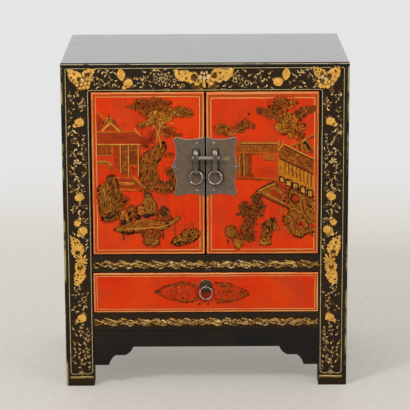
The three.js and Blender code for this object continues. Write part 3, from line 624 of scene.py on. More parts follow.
class Paint:
    """All the paint on one flat face, made into one piece."""

    def __init__(self, name, body, ground):
        self.name, self.body, self.ground = name, body, ground
        self.places, self.faces, self.tones = [], [], []

    def add(self, points, coat, tone):
        """Adds the front and the back of some points, and gives the number of the first of each."""
        front = self.ground - (coat + 1) * COAT
        first = len(self.places)
        spread = 1 + chance.uniform(-TONE_SPREAD, TONE_SPREAD)
        for depth in (front, self.ground + SUNK):
            self.places += [(p.real * MM, depth * MM, p.imag * MM) for p in points]
        self.tones += [tuple(channel * spread for channel in tone[:3]) + (1.0,)] * (2 * len(points))
        return first, first + len(points)

    def shape(self, points, tone, coat=0):
        """A filled outline."""
        turns = sum((a.conjugate() * b).imag for a, b in zip(points, points[1:] + points[:1]))
        points = points if turns > 0 else points[::-1]
        count = len(points)
        front, back = self.add(points, coat, tone)
        self.faces.append(tuple(range(front, front + count)))
        self.faces.append(tuple(reversed(range(back, back + count))))
        for i in range(count):
            j = (i + 1) % count
            self.faces.append((front + i, back + i, back + j, front + j))

    def stroke(self, points, width, tone, coat=0, profile="both"):
        """A brush stroke along a line."""
        points = [p for i, p in enumerate(points) if i == 0 or abs(p - points[i - 1]) > NEAREST]
        last = len(points) - 1
        rims = []
        for i, point in enumerate(points):
            ahead = points[min(i + 1, last)] - points[max(i - 1, 0)]
            side = 0.5j * ahead / abs(ahead) * width * brush(profile, i / last)
            rims += [point - side, point + side]
        front, back = self.add(rims, coat, tone)
        for i in range(0, 2 * last, 2):
            a, b, c, d = i, i + 1, i + 2, i + 3
            self.faces.append((front + a, front + c, front + d, front + b))
            self.faces.append((back + a, back + b, back + d, back + c))
            self.faces.append((front + a, back + a, back + c, front + c))
            self.faces.append((front + b, front + d, back + d, back + b))
        end = 2 * last
        self.faces.append((front, front + 1, back + 1, back))
        self.faces.append((front + end, back + end, back + end + 1, front + end + 1))

    def done(self, finish):
        mesh = bpy.data.meshes.new(self.name)
        mesh.from_pydata(self.places, [], self.faces)
        tones = mesh.color_attributes.new("paint", "FLOAT_COLOR", "POINT")
        tones.data.foreach_set("color", [channel for tone in self.tones for channel in tone])
        mesh.materials.append(finish)
        piece = new_object(self.name, mesh)
        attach(piece, self.body)


class Pen:
    """Draws in its own frame, which may be moved, turned, scaled and mirrored on a painted face."""

    def __init__(self, paint, where=0, size=1.0, turn=0.0, flip=False, outer=None):
        self.paint, self.where, self.flip, self.outer = paint, where, flip, outer
        self.spin = cmath.rect(size, math.radians(turn))
        self.scale = size * (outer.scale if outer else 1.0)

    def moved(self, where, size, turn):
        return Pen(self.paint, where, size, turn, outer=self)

    def map(self, point):
        point = complex(point)
        if self.flip:
            point = -point.conjugate()
        point = self.where + self.spin * point
        return self.outer.map(point) if self.outer else point

    def line(self, points, width, tone, coat=0, profile="both"):
        self.paint.stroke(smooth([self.map(p) for p in points]), width * self.scale, tone, coat, profile)

    def straight(self, points, width, tone, coat=0):
        self.paint.stroke([self.map(p) for p in points], width * self.scale, tone, coat, "even")

    def fill(self, points, tone, coat=0):
        self.paint.shape(smooth([self.map(p) for p in points], closed=True), tone, coat)

    def panel(self, points, tone, coat=0):
        self.paint.shape([self.map(p) for p in points], tone, coat)

    def round_points(self, centre, radius, squash=1.0):
        angles = [2 * math.pi * k / ROUND_CORNERS for k in range(ROUND_CORNERS)]
        return [centre + radius * complex(math.cos(a), squash * math.sin(a)) for a in angles]

    def dot(self, centre, radius, tone, coat=0, squash=1.0):
        self.panel(self.round_points(centre, radius, squash), tone, coat)

    def ring(self, centre, radius, width, tone, coat=0):
        points = self.round_points(centre, radius)
        self.straight(points + points[:1], width, tone, coat)

    def comma(self, start, end, width, bend, tone, coat=0):
        """A stroke that starts round and full, bends to one side and runs out thin."""
        middle = (start + end) / 2 + bend * (end - start) * 1j
        self.line([start, middle, end], width, tone, coat, "tail")

    def leaf(self, start, end, width, tone, vein, coat):
        """A pointed leaf with a vein along its middle."""
        points = [start, (start + end) / 2, end]
        self.line(points, width, tone, coat)
        self.line(points, 0.2 * width, vein, coat + 1)

    def spiral(self, centre, radius, start, turns, width, tone, coat=0):
        """A line that winds in towards its centre, from one angle through some turns."""
        count = max(5, math.ceil(abs(turns) * SPIRAL_STEPS))
        points = []
        for k in range(count + 1):
            share = k / count
            angle = math.radians(start) + 2 * math.pi * turns * share
            points.append(centre + cmath.rect(radius * (1 - (1 - SPIRAL_LEFT) * share), angle))
        self.line(points, width, tone, coat, "tail")


# Gilding of the frame
FRAME_LINE = 0.85
OUTER_LINE = HALF_WIDTH - 9.2
INNER_LINE = OPENING + 3.2
FOOT_LINE = 26.0
BOARD_GAP = 1.1
CORNER = 2.4
FOOT_BAND, FOOT_EDGE, FOOT_EDGE_RISE = 4.4, 1.5, 1.0j


def frame_lines():
    """Pale gold lines round the posts and under the top board."""
    paint = Paint("frame_lines", "root", FACE)
    high, low, rail = board_low.z - BOARD_GAP, FOOT_LINE, top_low.z
    for side in (-1, 1):
        pen = Pen(paint, flip=side < 0)
        outer, inner = OUTER_LINE - (side > 0), INNER_LINE
        top_end, shoulder = outer - CORNER + high * 1j, outer + (high - CORNER) * 1j
        heel, knee = outer + (low + CORNER) * 1j, inner + (low + CORNER) * 1j
        hip = inner + 0.4 + (rail - 3) * 1j
        for points in (
            [high * 1j, top_end],
            [top_end, outer - 1 + (high - 1) * 1j, shoulder],
            [shoulder, outer + 0.3 + 320j, heel],
            [heel, outer - 2 + (low - 1) * 1j, outer - 10 + (low - 2.5) * 1j, outer - 20 + (low + 1) * 1j,
             outer - 31 + (low - 2) * 1j, inner + 2 + (low + 0.5) * 1j, knee],
            [knee, inner - 0.3 + 300j, hip],
            [hip, inner - 1 + (rail + 0.5) * 1j, inner - CORNER + (rail + 0.8) * 1j],
            [inner - CORNER + (rail + 1.6) * 1j, (rail + 1.4) * 1j],
        ):
            pen.line(points, FRAME_LINE, LINE_TONE, profile="even")
        foot = [outer + 2 + 17.5j, outer - 12 + 16.9j, outer - 30 + 17.7j, OPENING + 0.8 + 17.3j]
        pen.line(foot, FOOT_BAND, DIM, profile="even")
        pen.line([p + FOOT_EDGE_RISE for p in foot], FOOT_EDGE, PALE, coat=1)
    return paint


SCROLL_PERIOD, SCROLL_SWING, SCROLL_WIDTH, SCROLL_RISE = 28.6, 2.2, 8.8, 4.9
SCROLL_WANDER, WANDER_LENGTH = 0.7, 41
SCROLL_PALE, SCROLL_GOLD, SCROLL_PINK = srgb(242, 206, 136), srgb(222, 168, 82), srgb(204, 150, 92)
SCROLL_MID, SCROLL_DIM, SCROLL_GROUND = srgb(156, 110, 48), srgb(106, 68, 22), srgb(60, 36, 6)
EDGE_TONES = (SCROLL_PALE, SCROLL_GOLD, SCROLL_PINK, SCROLL_MID, SCROLL_DIM)
INNER_TONES = (SCROLL_MID, SCROLL_DIM, SCROLL_GOLD, SCROLL_GROUND, SCROLL_PINK, SCROLL_DIM, SCROLL_PALE)
HOOK_TONES = (SCROLL_PALE, SCROLL_GOLD, SCROLL_MID, SCROLL_GOLD)
STRANDS, STRAND_PITCH, STRAND_LAG, HOOK_LAG = 7, 1.25, 0.36, 0.9
MIDDLE_SCROLL, BOTTOM_SCROLL = 15.2, 15.4
TAG_TONE, TAGS = srgb(182, 170, 150), (1.2 + 231.5j, 6.9 + 231.1j)
NOTCH = srgb(22, 18, 14)


def scroll_band(name, rail_low, rise_of_middle, tags=()):
    """A running ribbon of twisted leaves: a wavy brown ground, short strokes and curls at its edges."""
    paint = Paint(name, "root", rail_low.y)
    pen = Pen(paint)
    middle = rail_low.z + rise_of_middle
    left, right = -OPENING + 1, OPENING - 2

    def on(across, rise, lag=0.0):
        """A point of the ribbon: so far along, so far above its middle and so far behind its wave."""
        turn = 2 * math.pi * across / SCROLL_PERIOD + SCROLL_WANDER * math.sin(across / WANDER_LENGTH) - lag
        return complex(across, middle + rise + SCROLL_SWING * math.sin(turn))

    steps = round((right - left) / 2)
    spots = [left + (right - left) * k / steps for k in range(steps + 1)]
    spine = [on(spot, chance.uniform(-0.5, 0.5), HOOK_LAG) for spot in spots]
    pen.line(spine, SCROLL_WIDTH, SCROLL_GROUND, 0, "even")
    for strand in range(STRANDS):
        rise = STRAND_PITCH * (strand - (STRANDS - 1) / 2)
        tones = EDGE_TONES if strand in (0, STRANDS - 1) else INNER_TONES
        across = left + chance.uniform(0, 2.5)
        while across < right - 3:
            length = min(chance.uniform(6, 15), right - across)
            sweep, lag = chance.uniform(-1.2, 0.6), STRAND_LAG * strand
            points = [on(across + length * share, rise + sweep * share, lag) for share in (0, 0.35, 0.7, 1)]
            pen.line(points, chance.uniform(0.9, 1.7), chance.choice(tones), 1 + strand % 3)
            across += length * chance.uniform(0.8, 1.3)
    across = left + 8
    while across < right - 8:
        crest = on(across, SCROLL_RISE, HOOK_LAG)
        foot = on(across + SCROLL_PERIOD / 2, -SCROLL_RISE, HOOK_LAG)
        for root, side in ((crest, 1), (foot, -1)):
            tone = chance.choice(HOOK_TONES)
            hook = [root - 3.4, root + side * 0.7j, root + 3.0 - side * 0.3j, root + 5.0 - side * 2.4j]
            pen.line(hook, 1.5, tone, 4)
            tip = chance.choice(HOOK_TONES)
            pen.comma(root + 6.6 + side * 0.3j, root + 4.6 - side * 2.8j, 1.6, 0.3 * side, tip, 5)
            pen.comma(root - 6.4 - side * 1.4j, root - 3.6 - side * 3.6j, 1.4, -0.3 * side, tone, 5)
        for k in range(3):
            spot = on(across + chance.uniform(0, SCROLL_PERIOD), chance.uniform(-3, 3))
            pen.dot(spot, 0.8, NOTCH, 6, chance.uniform(0.7, 1.6))
        across += SCROLL_PERIOD * chance.uniform(0.46, 0.6)
    for tag in tags:
        pen.dot(tag, 0.9, TAG_TONE)
    return paint


LOZENGE_BROWN, LOZENGE_OLIVE, LOZENGE_PALE = srgb(150, 58, 8), srgb(126, 78, 10), srgb(226, 140, 70)
LOZENGE_RED, LOZENGE_GROUND, LOZENGE_EMBER = srgb(158, 30, 10), srgb(206, 52, 6), srgb(172, 44, 6)
LOZENGE_EDGES = (LOZENGE_BROWN, LOZENGE_OLIVE, LOZENGE_BROWN, LOZENGE_EMBER)
LOZENGE_TONES = (LOZENGE_OLIVE, LOZENGE_BROWN, LOZENGE_OLIVE, srgb(154, 94, 18), LOZENGE_EMBER)


def drawer_gilding():
    """A pointed, leafy lozenge behind the drawer's ring, nearly worn away."""
    low, high = place("drawer_front")
    paint = Paint("drawer_gilding", "drawer", low.y)
    pen = Pen(paint)
    left_top = [-96+188j, -86+193j, -72+199.6j, -56+203j, -44+206j, -31+203j]
    left_low = [-96+187j, -86+181.6j, -70+174j, -56+171j, -42+167.5j, -31+170j]
    right_top = [17+206j, 26+203j, 38+204j, 50+200.6j, 66+193.7j, 77+188j, 80+183.6j]
    right_low = [20+166j, 34+167.5j, 50+170j, 66+174.6j, 76+178.6j, 80+183j]
    pen.fill(left_top + [-28+186j] + left_low[::-1], LOZENGE_GROUND)
    pen.fill(right_top + [81+182.3j] + right_low[::-1] + [22+184j], LOZENGE_GROUND)
    for edge in (left_top, left_low, right_top[::-1], right_low[::-1]):
        for point in smooth(edge)[::2]:
            clump(pen, point, chance.uniform(2.4, 3.8), HAZE, -0.5)
            clump(pen, point, chance.uniform(1.3, 2.5), chance.choice(LOZENGE_EDGES), 1)
        pen.line(edge[:3], 1.8, LOZENGE_BROWN, 2, "tail")
    for spot, wide, tall in (
        (-43+203j, 10, 4), (-43+171j, 8, 5), (-58+174j, 7, 4.4), (-60+199j, 7, 3.6), (31+200j, 9, 5),
        (28+170j, 11, 5), (44+194j, 6, 9), (72+184j, 7, 5), (-90+187j, 5, 3.4), (50+170.6j, 11, 3.6),
        (-24+200j, 6, 5), (-24+172j, 7, 5),
    ):
        for k in range(round(wide * tall / 3)):
            start = spot + complex(chance.uniform(-wide, wide), chance.uniform(-tall, tall)) * 0.9
            clump(pen, start, chance.uniform(1, 2.2), chance.choice(LOZENGE_TONES), 2)
        for k in range(5):
            start = spot + complex(chance.uniform(-wide, wide), chance.uniform(-tall, tall)) * 0.8
            tip = start + cmath.rect(chance.uniform(3, 6), chance.uniform(0, CIRCLE))
            pen.comma(start, tip, 1.7, 0.3, chance.choice(LOZENGE_TONES), 3)
    for k in range(46):
        start = complex(chance.uniform(-74, 64), chance.uniform(175, 198))
        pen.line([start, start + chance.uniform(3, 7) + chance.uniform(-2, 2) * 1j],
            chance.uniform(0.7, 1.4), chance.choice((LOZENGE_BROWN, LOZENGE_RED, LOZENGE_BROWN)), 1)
    for side in (-1, 1):
        middle = -6+186j
        for reach in (34, 46, 60, 70):
            root = middle + side * reach * 0.82
            pen.line([root, root + side * 5 + 6j, root + side * 11 + 4j], 1.8, LOZENGE_BROWN, 2, "tail")
            pen.line([root, root + side * 5 - 6j, root + side * 12 - 3j], 1.8, LOZENGE_BROWN, 2, "tail")
        pen.line([middle + side * 27, middle + side * 58 + 1j, middle + side * 84], 1.4, LOZENGE_BROWN, 2,
            "tail")
        pen.ring(middle + side * 24 + 1j, 6.5, 1.4, LOZENGE_BROWN, 1)
    for row in (
        ([-54+199j, -50.5+193j, -48.4+188j], 1.1, LOZENGE_PALE, 1),
        ([-57+176j, -55+172j, -52+169.5j], 1.2, LOZENGE_PALE, 1),
        ([47+197j, 47.6+189j], 1, LOZENGE_PALE, 1), ([41+187j, 47+187.5j, 53+186j], 1, LOZENGE_PALE, 1),
    ):
        pen.line(*row)
    # Two pale dots, with dark blots round and mostly below them: a painted shadow
    for spot in (-14.4+164.3j, 2.8+163.6j):
        for k in range(7):
            blot = spot + complex(chance.uniform(-2.4, 2.4), chance.uniform(-1.6, 2.4))
            clump(pen, blot, chance.uniform(1.2, 2.2), chance.choice(LOZENGE_TONES), 0)
        pen.dot(spot + 1.6j, 1, LOZENGE_PALE, 1)
    return paint


# Motifs of the top rail and the posts
SPOT, TAWNY, DISC = srgb(74, 28, 8), srgb(116, 78, 24), srgb(92, 60, 16)
VEIN_TONES = (AMBER, PALE, BROWN, AMBER, TAWNY, AMBER)
WING_TONES = (srgb(214, 152, 58), srgb(248, 202, 108), srgb(222, 164, 68))
LEAF_TONES = (TAN, STRAW, PALE, STRAW)
TWIG_TONES = (DIM, srgb(118, 82, 42), srgb(160, 122, 84))
NET_TONES = (TWIG_TONES[2], PALE, DIM)
TWIG_LEAF_FROM, TWIG_LEAF_EVERY, TWIG_CURL = 3, 8, 1.9
WING_BLOTS, WING_RAYS, VEIN = 18, 14, 0.06
FRUIT_RIM = [1.06, 0.92+0.5j, 0.5+0.96j, -0.2+0.84j, -0.72+0.74j, -1.06+0.1j, -0.8-0.6j, -0.3-0.92j,
             0.46-0.8j, 0.82-0.7j]
LOBE_RIM = [-0.6-0.35j, -1.15-0.05j, -1.6-0.3j, -1.5-0.8j, -1.0-0.95j, -0.55-0.7j]


def rough(points, spread):
    """The same points, each moved a little, so that two alike shapes differ."""
    def shift():
        return chance.uniform(-spread, spread)

    return [point + complex(shift(), shift()) for point in points]


def fruit(pen, where, radius, turn=0, lobe=True):
    """A ragged gold fruit with a small calyx and, on some, a lobe beside it."""
    own = pen.moved(where, radius, turn)
    own.fill(rough(FRUIT_RIM, 0.07), GOLD)
    for tip in (1.34+0.72j, 0.72+1.32j, 0.1+1.3j):
        own.comma(tip * 0.62, tip, 0.24, 0.2, AMBER)
    if lobe:
        own.fill(rough(LOBE_RIM, 0.08), GOLD)
    own.line([-0.5+0.5j, 0.2+0.62j, 0.72+0.3j], 0.16, PALE, 1)
    own.line([-0.66-0.3j, -0.1-0.6j, 0.56-0.46j], 0.14, AMBER, 1)
    for k in range(5):
        own.dot(cmath.rect(chance.uniform(0.1, 0.7), chance.uniform(0, CIRCLE)), 0.07, AMBER, 1)


def almond_leaf(pen, where, wide, tall, turn=0):
    """A broad pointed leaf with a dark midrib and side veins."""
    own = pen.moved(where, tall / 2, turn)
    reach = wide / tall
    right_rim = [1j, reach * 0.72 + 0.5j, reach - 0.05j, reach * 0.66 - 0.6j]
    own.fill(right_rim + [-1j, -reach * 0.72 - 0.5j, -reach + 0.05j, -reach * 0.62 + 0.6j], GOLD)
    own.line([0.8j, 0.04+0.1j, -0.75j], VEIN, AMBER, 1)
    for rise in (-0.5, -0.15, 0.2, 0.5):
        for side in (-1, 1):
            own.line([rise * 1j, side * reach * 0.55 + (rise + 0.22) * 1j], VEIN, AMBER, 1)


def clump(pen, centre, radius, tone, coat):
    """A small ragged blot."""
    turns = [2 * math.pi * k / CLUMP_CORNERS for k in range(CLUMP_CORNERS)]
    pen.panel([centre + cmath.rect(radius * chance.uniform(0.6, 1.2), turn) for turn in turns], tone, coat)


def oval(centre, wide, tall):
    """A ragged oval outline."""
    turns = [2 * math.pi * k / OVAL_CORNERS for k in range(OVAL_CORNERS)]
    rim = [complex(wide * math.cos(turn), tall * math.sin(turn)) for turn in turns]
    return [centre + chance.uniform(0.8, 1.16) * spot for spot in rim]


def butterfly(pen, body, wings, patches, spots, petals=(), lobes=(), veins=4.0):
    """Gold wings with nibbled edges, brown patches, veins and dark spots round a flower-like body."""
    for wing in wings:
        pen.fill(rough(wing, 0.5), GOLD)
        middle = sum(wing) / len(wing)
        for k in range(WING_BLOTS):
            spot = middle + (chance.choice(wing) - middle) * chance.uniform(0.1, 0.85)
            clump(pen, spot, chance.uniform(1.2, 2.6), chance.choice(WING_TONES), 0.5)
        for rim in smooth(wing, closed=True)[::3]:
            out = (rim - middle) / abs(rim - middle)
            pen.comma(rim - out, rim + out * chance.uniform(1.0, 2.6), 1.5, 0.2, TAWNY, 0)
            if chance.random() < 0.5:
                notch, size = rim + out * chance.uniform(-0.5, 0.7), chance.uniform(0.6, 1.4)
                pen.dot(notch, size, NOTCH, 3, chance.uniform(0.6, 1.5))
            else:
                pen.dot(rim, chance.uniform(0.6, 1.2), chance.choice(LEAF_TONES), 1)
        for k in range(round(len(wing) * veins)):
            start = middle + (chance.choice(wing) - middle) * chance.uniform(0.2, 0.9)
            reach = (start - middle) / abs(start - middle) * chance.uniform(1.6, 4.0)
            pen.line([start, start + reach], chance.uniform(0.6, 1.5), chance.choice(VEIN_TONES), 1)
        for k in range(WING_RAYS):
            way = chance.choice(wing) - body
            near = body + way * chance.uniform(0.12, 0.4)
            tip, width = near + way / abs(way) * chance.uniform(3, 6), chance.uniform(1.0, 1.8)
            pen.comma(near, tip, width, 0.15, chance.choice((TAWNY, BROWN, AMBER)), 2)
    for centre, wide, tall, tone in patches:
        pen.dot(centre, wide, tone, 2, tall / wide)
        for k in range(6):
            ray = cmath.rect(wide, math.radians(60 * k + chance.uniform(0, 40)))
            pen.comma(centre + ray * 1.1, centre + ray * 0.4, 1.3, 0.3, chance.choice((GOLD, AMBER, tone)), 3)
    for number, where in enumerate(spots):
        pen.dot(where, 1.9 if number % 3 == 0 else 1.2, SPOT, 3)
    pen.dot(body, 4.0, TAWNY, 3)
    coat = 4
    for centre, wide, tall, tone in lobes:
        pen.fill(oval(centre, wide + 1.3, tall + 1.3), BROWN, coat)
        pen.fill(oval(centre, wide + 0.7, tall + 0.7), tone, coat + 0.4)
        coat += 0.8
        for fold in (BROWN, AMBER, PALE):
            start = centre + complex(chance.uniform(-0.6, 0.6) * wide, chance.uniform(-0.6, 0.6) * tall)
            tip = centre + (body - centre) * chance.uniform(0.2, 0.5)
            pen.line([start, tip], chance.uniform(0.6, 1.0), fold, coat)
    for start, end, width in petals:
        pen.comma(end, start, width * 1.5, 0.14, BROWN, 4)
        pen.comma(end, start, width * 1.05, 0.14, GOLD, 5)
        pen.line([end, (start + end) / 2], 0.7, PALE, 6)
        pen.dot(end + (end - start) * 0.12, width * 0.22, AMBER, 6)


def twig(pen, points, width=0.85):
    """A thin stem with tiny leaves on alternate sides and a curled tip."""
    tone = chance.choice(TWIG_TONES)
    line = smooth(points)
    pen.line(points, width, tone, 0, "even")
    side = 1
    for index in range(TWIG_LEAF_FROM, len(line) - 1, TWIG_LEAF_EVERY):
        along = line[index] - line[index - 1]
        out = along / (abs(along) or 1) * cmath.rect(1, side * chance.uniform(0.7, 1.3))
        tip = line[index] + out * chance.uniform(3.2, 5.6)
        pen.comma(tip, line[index], chance.uniform(1.7, 2.7), 0.3 * side, chance.choice(LEAF_TONES), 1)
        side = -side
    end, along = line[-1], line[-1] - line[-2]
    ahead = along / (abs(along) or 1) * TWIG_CURL
    bend = ahead * 1j * side
    curl = [end, end + ahead + bend * 0.3, end + ahead * 1.2 + bend * 1.5, end + bend * 2.0]
    pen.line(curl + [end - ahead * 0.5 + bend * 1.2], width, tone, 0)


def net(pen, centres, radius):
    """A cluster of thin rings with small knots between them, as of lace."""
    for centre in centres:
        pen.ring(centre, radius * chance.uniform(0.9, 1.15), 0.9, chance.choice(NET_TONES))
        for k in range(2):
            knot = centre + cmath.rect(radius, chance.uniform(0, CIRCLE))
            pen.dot(knot, chance.uniform(0.7, 1.4), chance.choice(LEAF_TONES), 1)


def commas(pen, rows):
    """Comma strokes with a thin tendril, each given by its full end, its thin end and its width."""
    for start, end, width in rows:
        bow = chance.choice((-0.3, 0.3))
        pen.comma(start, end, width * 0.9, bow, chance.choice(LEAF_TONES))
        reach = end - start
        tendril = [end, end + reach * 0.45 + reach * 1j * bow, end + reach * 0.4 + reach * 2j * bow]
        pen.line(tendril, 0.6, chance.choice((DIM, AMBER)))


def top_rail_gilding():
    """Butterflies in the middle and at both corners of the top rail, with fruit and leaves between them."""
    paint = Paint("top_rail_gilding", "root", top_low.y)
    pen = Pen(paint)
    butterfly(
        pen,
        wings=[[-58+618.5j, -55.3+605.6j, -50.7+597.2j, -43+596j, -36+594.5j, -27.8+590.8j, -20.5+591.7j,
            -12+597j, -14+608j, -20+613j, -27.8+612j, -36+616.7j, -46+615j],
            [19.6+620.4j, 26+620.8j, 33.3+617j, 42+618j, 52.5+619.5j, 51.6+606.5j, 42.5+597.2j, 33.3+595.4j,
            26+592.6j, 18.7+595.3j, 10+597j, 9+606j, 14+613j]],
        body=-1.6 + 600j,
        patches=[(-14.4+586j, 10.6, 7.4, DISC), (15.6+586j, 9.4, 7.4, DISC), (-20.6+602j, 6.4, 7.6, BROWN),
            (17+606j, 5.8, 5.6, BROWN), (-2+610j, 7, 5, BROWN)],
        spots=[-48+609.7j, -42.9+603.7j, -37+609.3j, -35.1+600.5j, 41.1+610.7j, 34.7+604.2j, 27.8+598.6j],
        lobes=[(-15+590.5j, 4.4, 3, GOLD), (10.4+590.5j, 3.8, 3.2, GOLD), (-8+595j, 2.4, 2.4, GOLD),
            (5.6+595.5j, 2.4, 2.4, GOLD), (-1.6+589.5j, 2.2, 7, GOLD), (-1.6+600.5j, 2.4, 3.4, STRAW),
            (-9.2+602.4j, 3.6, 4.2, STRAW), (5.9+603.6j, 3.6, 4, STRAW), (-6.4+611j, 1, 2.2, PALE),
            (-1.6+609.5j, 1, 2.6, PALE), (3.4+612j, 1, 2.2, PALE)],
        veins=1.6,
    )
    butterfly(
        pen,
        veins=6,
        wings=[[-255.9+619.5j, -243+616j, -230.7+609.3j, -229+598j, -236.2+586j, -241.7+588.9j,
            -248.1+594.5j, -252.7+600.9j, -255+610j], [-229.8+612j, -220.6+619j, -206+620j, -207+612j,
            -211.5+605.6j, -217+599.1j, -225+600j]],
        body=-227 + 600j,
        patches=[(-234.4+579.6j, 5, 2.4, DISC), (-234.6+599.4j, 4.4, 5.4, BROWN),
            (-221+608.4j, 4.4, 3.4, BROWN), (-227+590j, 8, 6.4, BROWN)],
        spots=[-249.9+603j, -246.3+597j, -212.4+613.9j, -217.4+607.9j, -246+611j],
        lobes=[(-233+583j, 3, 2.4, GOLD), (-226+583.8j, 2.8, 2.8, GOLD), (-219.4+585j, 3, 3, GOLD),
            (-239+589j, 2.6, 2.4, GOLD), (-230.6+590.4j, 2.6, 3, GOLD), (-223.4+592j, 2.4, 3.2, GOLD),
            (-216.6+592.4j, 2.2, 2.8, GOLD), (-228.6+598j, 2.6, 3.6, STRAW), (-214+599j, 2.4, 2.4, GOLD),
            (-221+600j, 2.4, 2.8, TAN)],
    )
    butterfly(
        pen,
        veins=6,
        wings=[[201.5+620.6j, 213+620j, 224+613j, 226+603j, 218+598j, 212+599j, 206+606j, 203+613j],
            [229.9+613j, 239+620.3j, 251.8+620.6j, 251.6+610j, 248.2+600.9j, 241.8+590.8j, 233+585j,
            227+592j, 225+602j]],
        body=224 + 600j,
        patches=[(234+581j, 5.2, 2.6, RUST), (218.4+608.4j, 3.6, 5.2, BROWN), (231.6+602.4j, 4.8, 6, BROWN),
            (224+590j, 8.4, 6, BROWN)],
        spots=[243.1+613.9j, 241.8+603.3j, 239+595.6j, 207+615.3j, 208.3+609.7j],
        lobes=[(215.7+586.4j, 4.2, 3.8, GOLD), (222+584.4j, 2.2, 3.6, GOLD), (229.6+584.4j, 3.8, 3, GOLD),
            (236.6+589j, 3.2, 2.8, GOLD), (211.6+594j, 2.2, 2.4, GOLD), (225+591j, 2.4, 2.8, GOLD),
            (219+601.6j, 2.2, 4.2, STRAW), (225.8+597.6j, 2.4, 4.2, STRAW), (232+593j, 2.4, 2.6, GOLD)],
    )
    for line in (
        [-212.4+600.9j, -204+603.5j, -197+600j, -197.7+591.7j],
        [-212.4+594.5j, -207.8+596.4j, -205.5+590.8j],
        [-188.6+613.9j, -178.5+606.5j, -176.6+597.2j, -180.3+589.8j],
        [-170.3+599.1j, -166+592j, -164.3+585.2j, -157.4+583.3j],
        [-136+598j, -122+602j, -112+603j, -102+608.4j, -97.4+615j],
        [-128+590j, -118+593j, -109.3+596.3j, -98+594j], [-98+604j, -90+609j, -80+607j, -72+611j, -64+607j],
        [-96+594j, -88+590j, -78+592j, -70+587j, -58+590j, -50+586j],
        [84+586j, 92+593j, 97+603j, 97.4+609.3j, 104.8+603.7j, 103+598j],
        [106+590j, 112+597j, 122+601j, 130+599j], [156.6+587.1j, 165+596j, 173.1+602.8j, 178+609j],
        [187.7+607.4j, 186+613j, 190+617.6j, 200.5+615.7j],
        [191.4+599.1j, 196.9+604.6j, 207+603.7j, 206+598j], [200.5+592.6j, 206+595j, 210+590j],
    ):
        twig(pen, line)
    commas(pen, [
        (-199.6+612.1j, -194+616j, 3), (-192.2+609.3j, -187+613j, 3.4), (-186.7+603.7j, -182+608j, 3),
        (-179.4+615.8j, -184+619j, 3.2), (-177.6+612.1j, -172+616j, 2.4), (-188.6+587.1j, -182+591j, 4),
        (-203.2+581.5j, -196+584.5j, 2.6), (-191+598j, -187+593j, 2.4), (-170+612j, -166+606j, 2.4),
        (-168+590j, -173+584j, 2.8), (-125.8+598.2j, -131+601j, 4), (-119.4+598.2j, -114+602j, 4),
        (-128.6+587.1j, -134+584j, 3.6), (-122+584.3j, -116+588j, 3.2), (-97.4+617.6j, -91+613j, 3.2),
        (-110+613j, -116+616j, 3.4), (-104+588j, -100+583j, 2.8), (-51.6+590.7j, -46+586j, 2.8),
        (-62.6+583.3j, -57+587j, 2.6), (-67.2+579.8j, -73+582j, 2.4), (-84.6+599.1j, -80+603j, 4.4),
        (-64.5+600.9j, -68+605j, 4), (-64.5+600.9j, -60+604.5j, 3.2), (-90+616j, -84+613j, 2.8),
        (-76+616j, -70+618j, 2.8), (76.4+612.1j, 71+615j, 4.6), (80.9+603.7j, 87+606j, 3.6),
        (89.2+590.8j, 84+595j, 3), (91+601.9j, 94+607j, 2.8), (111.2+600j, 106+596j, 3.4),
        (109.3+613.9j, 103+617j, 3.8), (118+609j, 123+613j, 3.2), (116+588j, 110+584j, 3.4),
        (124+584j, 129+581j, 2.6), (62+616j, 56+612j, 2.8), (98+586j, 103+582j, 2.8),
        (178.6+611.1j, 172+615j, 4.6), (178.6+611.1j, 184+615j, 4.2), (178.6+611.1j, 178+618j, 4),
        (168.5+583.4j, 162+581j, 3), (180.4+581.1j, 174+583j, 3.2), (187.7+590.8j, 182+595j, 3.4),
        (185+585.2j, 190+581j, 2.6), (202.4+581.5j, 209+583.4j, 2.8), (168+606j, 163+610j, 2.8),
        (195+610j, 199+607j, 2.4), (-47+582j, -41+584j, 2.4), (33+586j, 39+590j, 2.8),
        (44+584j, 50+588j, 2.6), (30+581j, 37+581.5j, 2.2),
    ])
    pen.ring(-41.1+587.1j, 2.8, 1, GOLD)
    net(pen, [-92+601j, -87+593j, -78+598j, -73+603j, -76+590j, -57+597j, -68+595j], 3.2)
    net(pen, [56+604.2j, 60.8+608.4j, 66.7+601.9j, 55.3+596.8j, 62.2+594.5j, 73.6+597.7j, 78.2+591.7j,
        67.2+588.4j, 74.1+586.1j], 3.6)
    almond_leaf(pen, -156.5+608.2j, 15.6, 24, 8)
    almond_leaf(pen, 151.5+608.2j, 15, 24, -8)
    fruit(pen, -143.7+591.7j, 8.4, 25)
    fruit(pen, 136.1+593.5j, 8.4, -20, lobe=False)
    return paint


